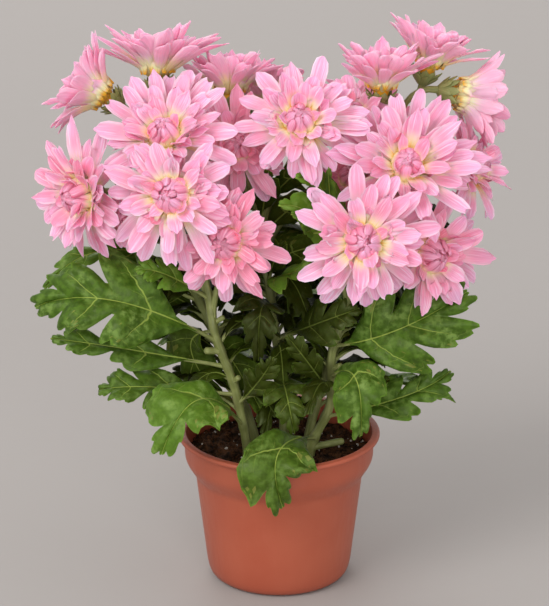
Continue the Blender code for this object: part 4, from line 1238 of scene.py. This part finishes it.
def makeSoil(material):
    # The wall's line and rings that close in on the middle of the surface, turned round Z
    s = soilShape
    wall = roundedLine(s["wall"], 5)
    radii = np.linspace(s["rim"], 0, s["rings"])[:-1]
    upper = turned(np.stack([radii, 0 * radii], -1), s["sides"])
    upper[..., 2] = soilHeight(upper[..., 0], upper[..., 1])
    ends = [(0, 0, wall[0, 1]), (0, 0, soilHeight(np.zeros(1), np.zeros(1))[0])]
    shape = roundSolid(np.concatenate([turned(wall[1:], s["sides"]), upper]), ends=ends)
    addPiece("soil_bed", shape, material, ["soil"], 80)


def scatter(name, count, sizes, sink, seed, material):
    # Rough grains: a globe of 6 by 4 faces whose points move in and out, set into the soil
    s, rng = soilShape, np.random.default_rng(seed)
    heights, spokes = np.radians(s["grainHeights"])[:, None], around(s["grainSides"])
    globe = xyz(np.cos(heights) * np.cos(spokes), np.cos(heights) * np.sin(spokes), np.sin(heights))
    radius = s["grainCircle"] * np.sqrt(rng.uniform(0, 1, count))
    turn = rng.uniform(0, 2 * np.pi, count)
    x, y = radius * np.cos(turn), radius * np.sin(turn)
    size = sizes[0] + (sizes[1] - sizes[0]) * rng.uniform(0, 1, count) ** 2
    centres = xyz(x, y, soilHeight(x, y) + size * sink)
    shapes = []
    for centre, scale in zip(centres, size):
        rough = globe * rng.uniform(0.7, 1.25, (*globe.shape[:2], 1)) * rng.uniform(0.75, 1.2, 3) * scale
        shapes.append(roundSolid(rough + centre))
    addPiece(name, gather(shapes), material, ["soil"], 30)


makeSoil(soilMaterial("potting_soil_bed", 0.35))
scatter("soil_crumbs", *soilShape["crumbs"], soilMaterial("soil_crumb", 0.5))
scatter("soil_perlite", *soilShape["perlite"], perliteMaterial())
print("soil:", soilShape["crumbs"][0], "crumbs and", soilShape["perlite"][0], "perlite grains")


# Studio

studio = {
    "floor": colour(166, 161, 158),
    "target": (-0.0027, 0.0, 0.1712), "distance": 2.0, "elevation": 20.3,
    "lens": 3415 * 36 / 606, "sensorHeight": 36.0,
    # lights: place, target, size, watts, colour
    "lights": (
        ("key", (-2.1, -2.5, 3.1), (0, 0, 0.18), 2.6, 97.0, (1.0, 0.985, 0.97)),
        ("fill", (0.4, -3.0, 0.8), (0, 0, 0.2), 2.4, 42.0, (1.0, 1.0, 1.0)),
        ("back", (-0.4, 2.6, 2.4), (-0.2, 1.9, 0.0), 2.0, 36.0, (1.0, 1.0, 1.0)),
    ),
    "air": ((0.78, 0.77, 0.76, 1.0), 0.9), "fibre": (0.4, 0.4, 0.4, 1.0),
}


def placed(name, data, location, rotation):
    item = bpy.data.objects.new(name, data)
    item.location, item.rotation_euler = location, rotation
    bpy.context.scene.collection.objects.link(item)
    return item


def makeStudio():
    s, scene = studio, bpy.context.scene
    bpy.ops.mesh.primitive_plane_add(size=12)
    floor = bpy.context.object
    floor.name = "studio_floor"
    floor.data.materials.append(newMaterial("studio_paper", Roughness=0.9, Specular_IOR_Level=0.15))
    fibre = noise(objectPlace(), 60.0, 3.0)
    finishWith(blend(spread(fibre, 0.3, 0.7, 0.0, 0.04), s["floor"], s["fibre"]))
    for name, place, target, size, watts, tint in s["lights"]:
        light = bpy.data.lights.new(name, "AREA")
        light.shape, light.size, light.energy, light.color = "DISK", size, watts, tint
        placed(name, light, place, (Vector(target) - Vector(place)).to_track_quat("-Z", "Y").to_euler())
    world = bpy.data.worlds.new("studio_air")
    world.use_nodes = True
    for socket, value in zip(world.node_tree.nodes["Background"].inputs, s["air"]):
        socket.default_value = value
    scene.world = world
    camera = bpy.data.cameras.new("camera")
    camera.sensor_fit, camera.sensor_height, camera.lens = "VERTICAL", s["sensorHeight"], s["lens"]
    tilt = math.radians(s["elevation"])
    place = Vector(s["target"]) + Vector((0, -math.cos(tilt), math.sin(tilt))) * s["distance"]
    scene.camera = placed("camera", camera, place, (math.pi / 2 - tilt, 0, 0))
    scene.view_settings.view_transform = "Standard"


makeStudio()
print("studio: floor,", len(studio["lights"]), "lights and camera")
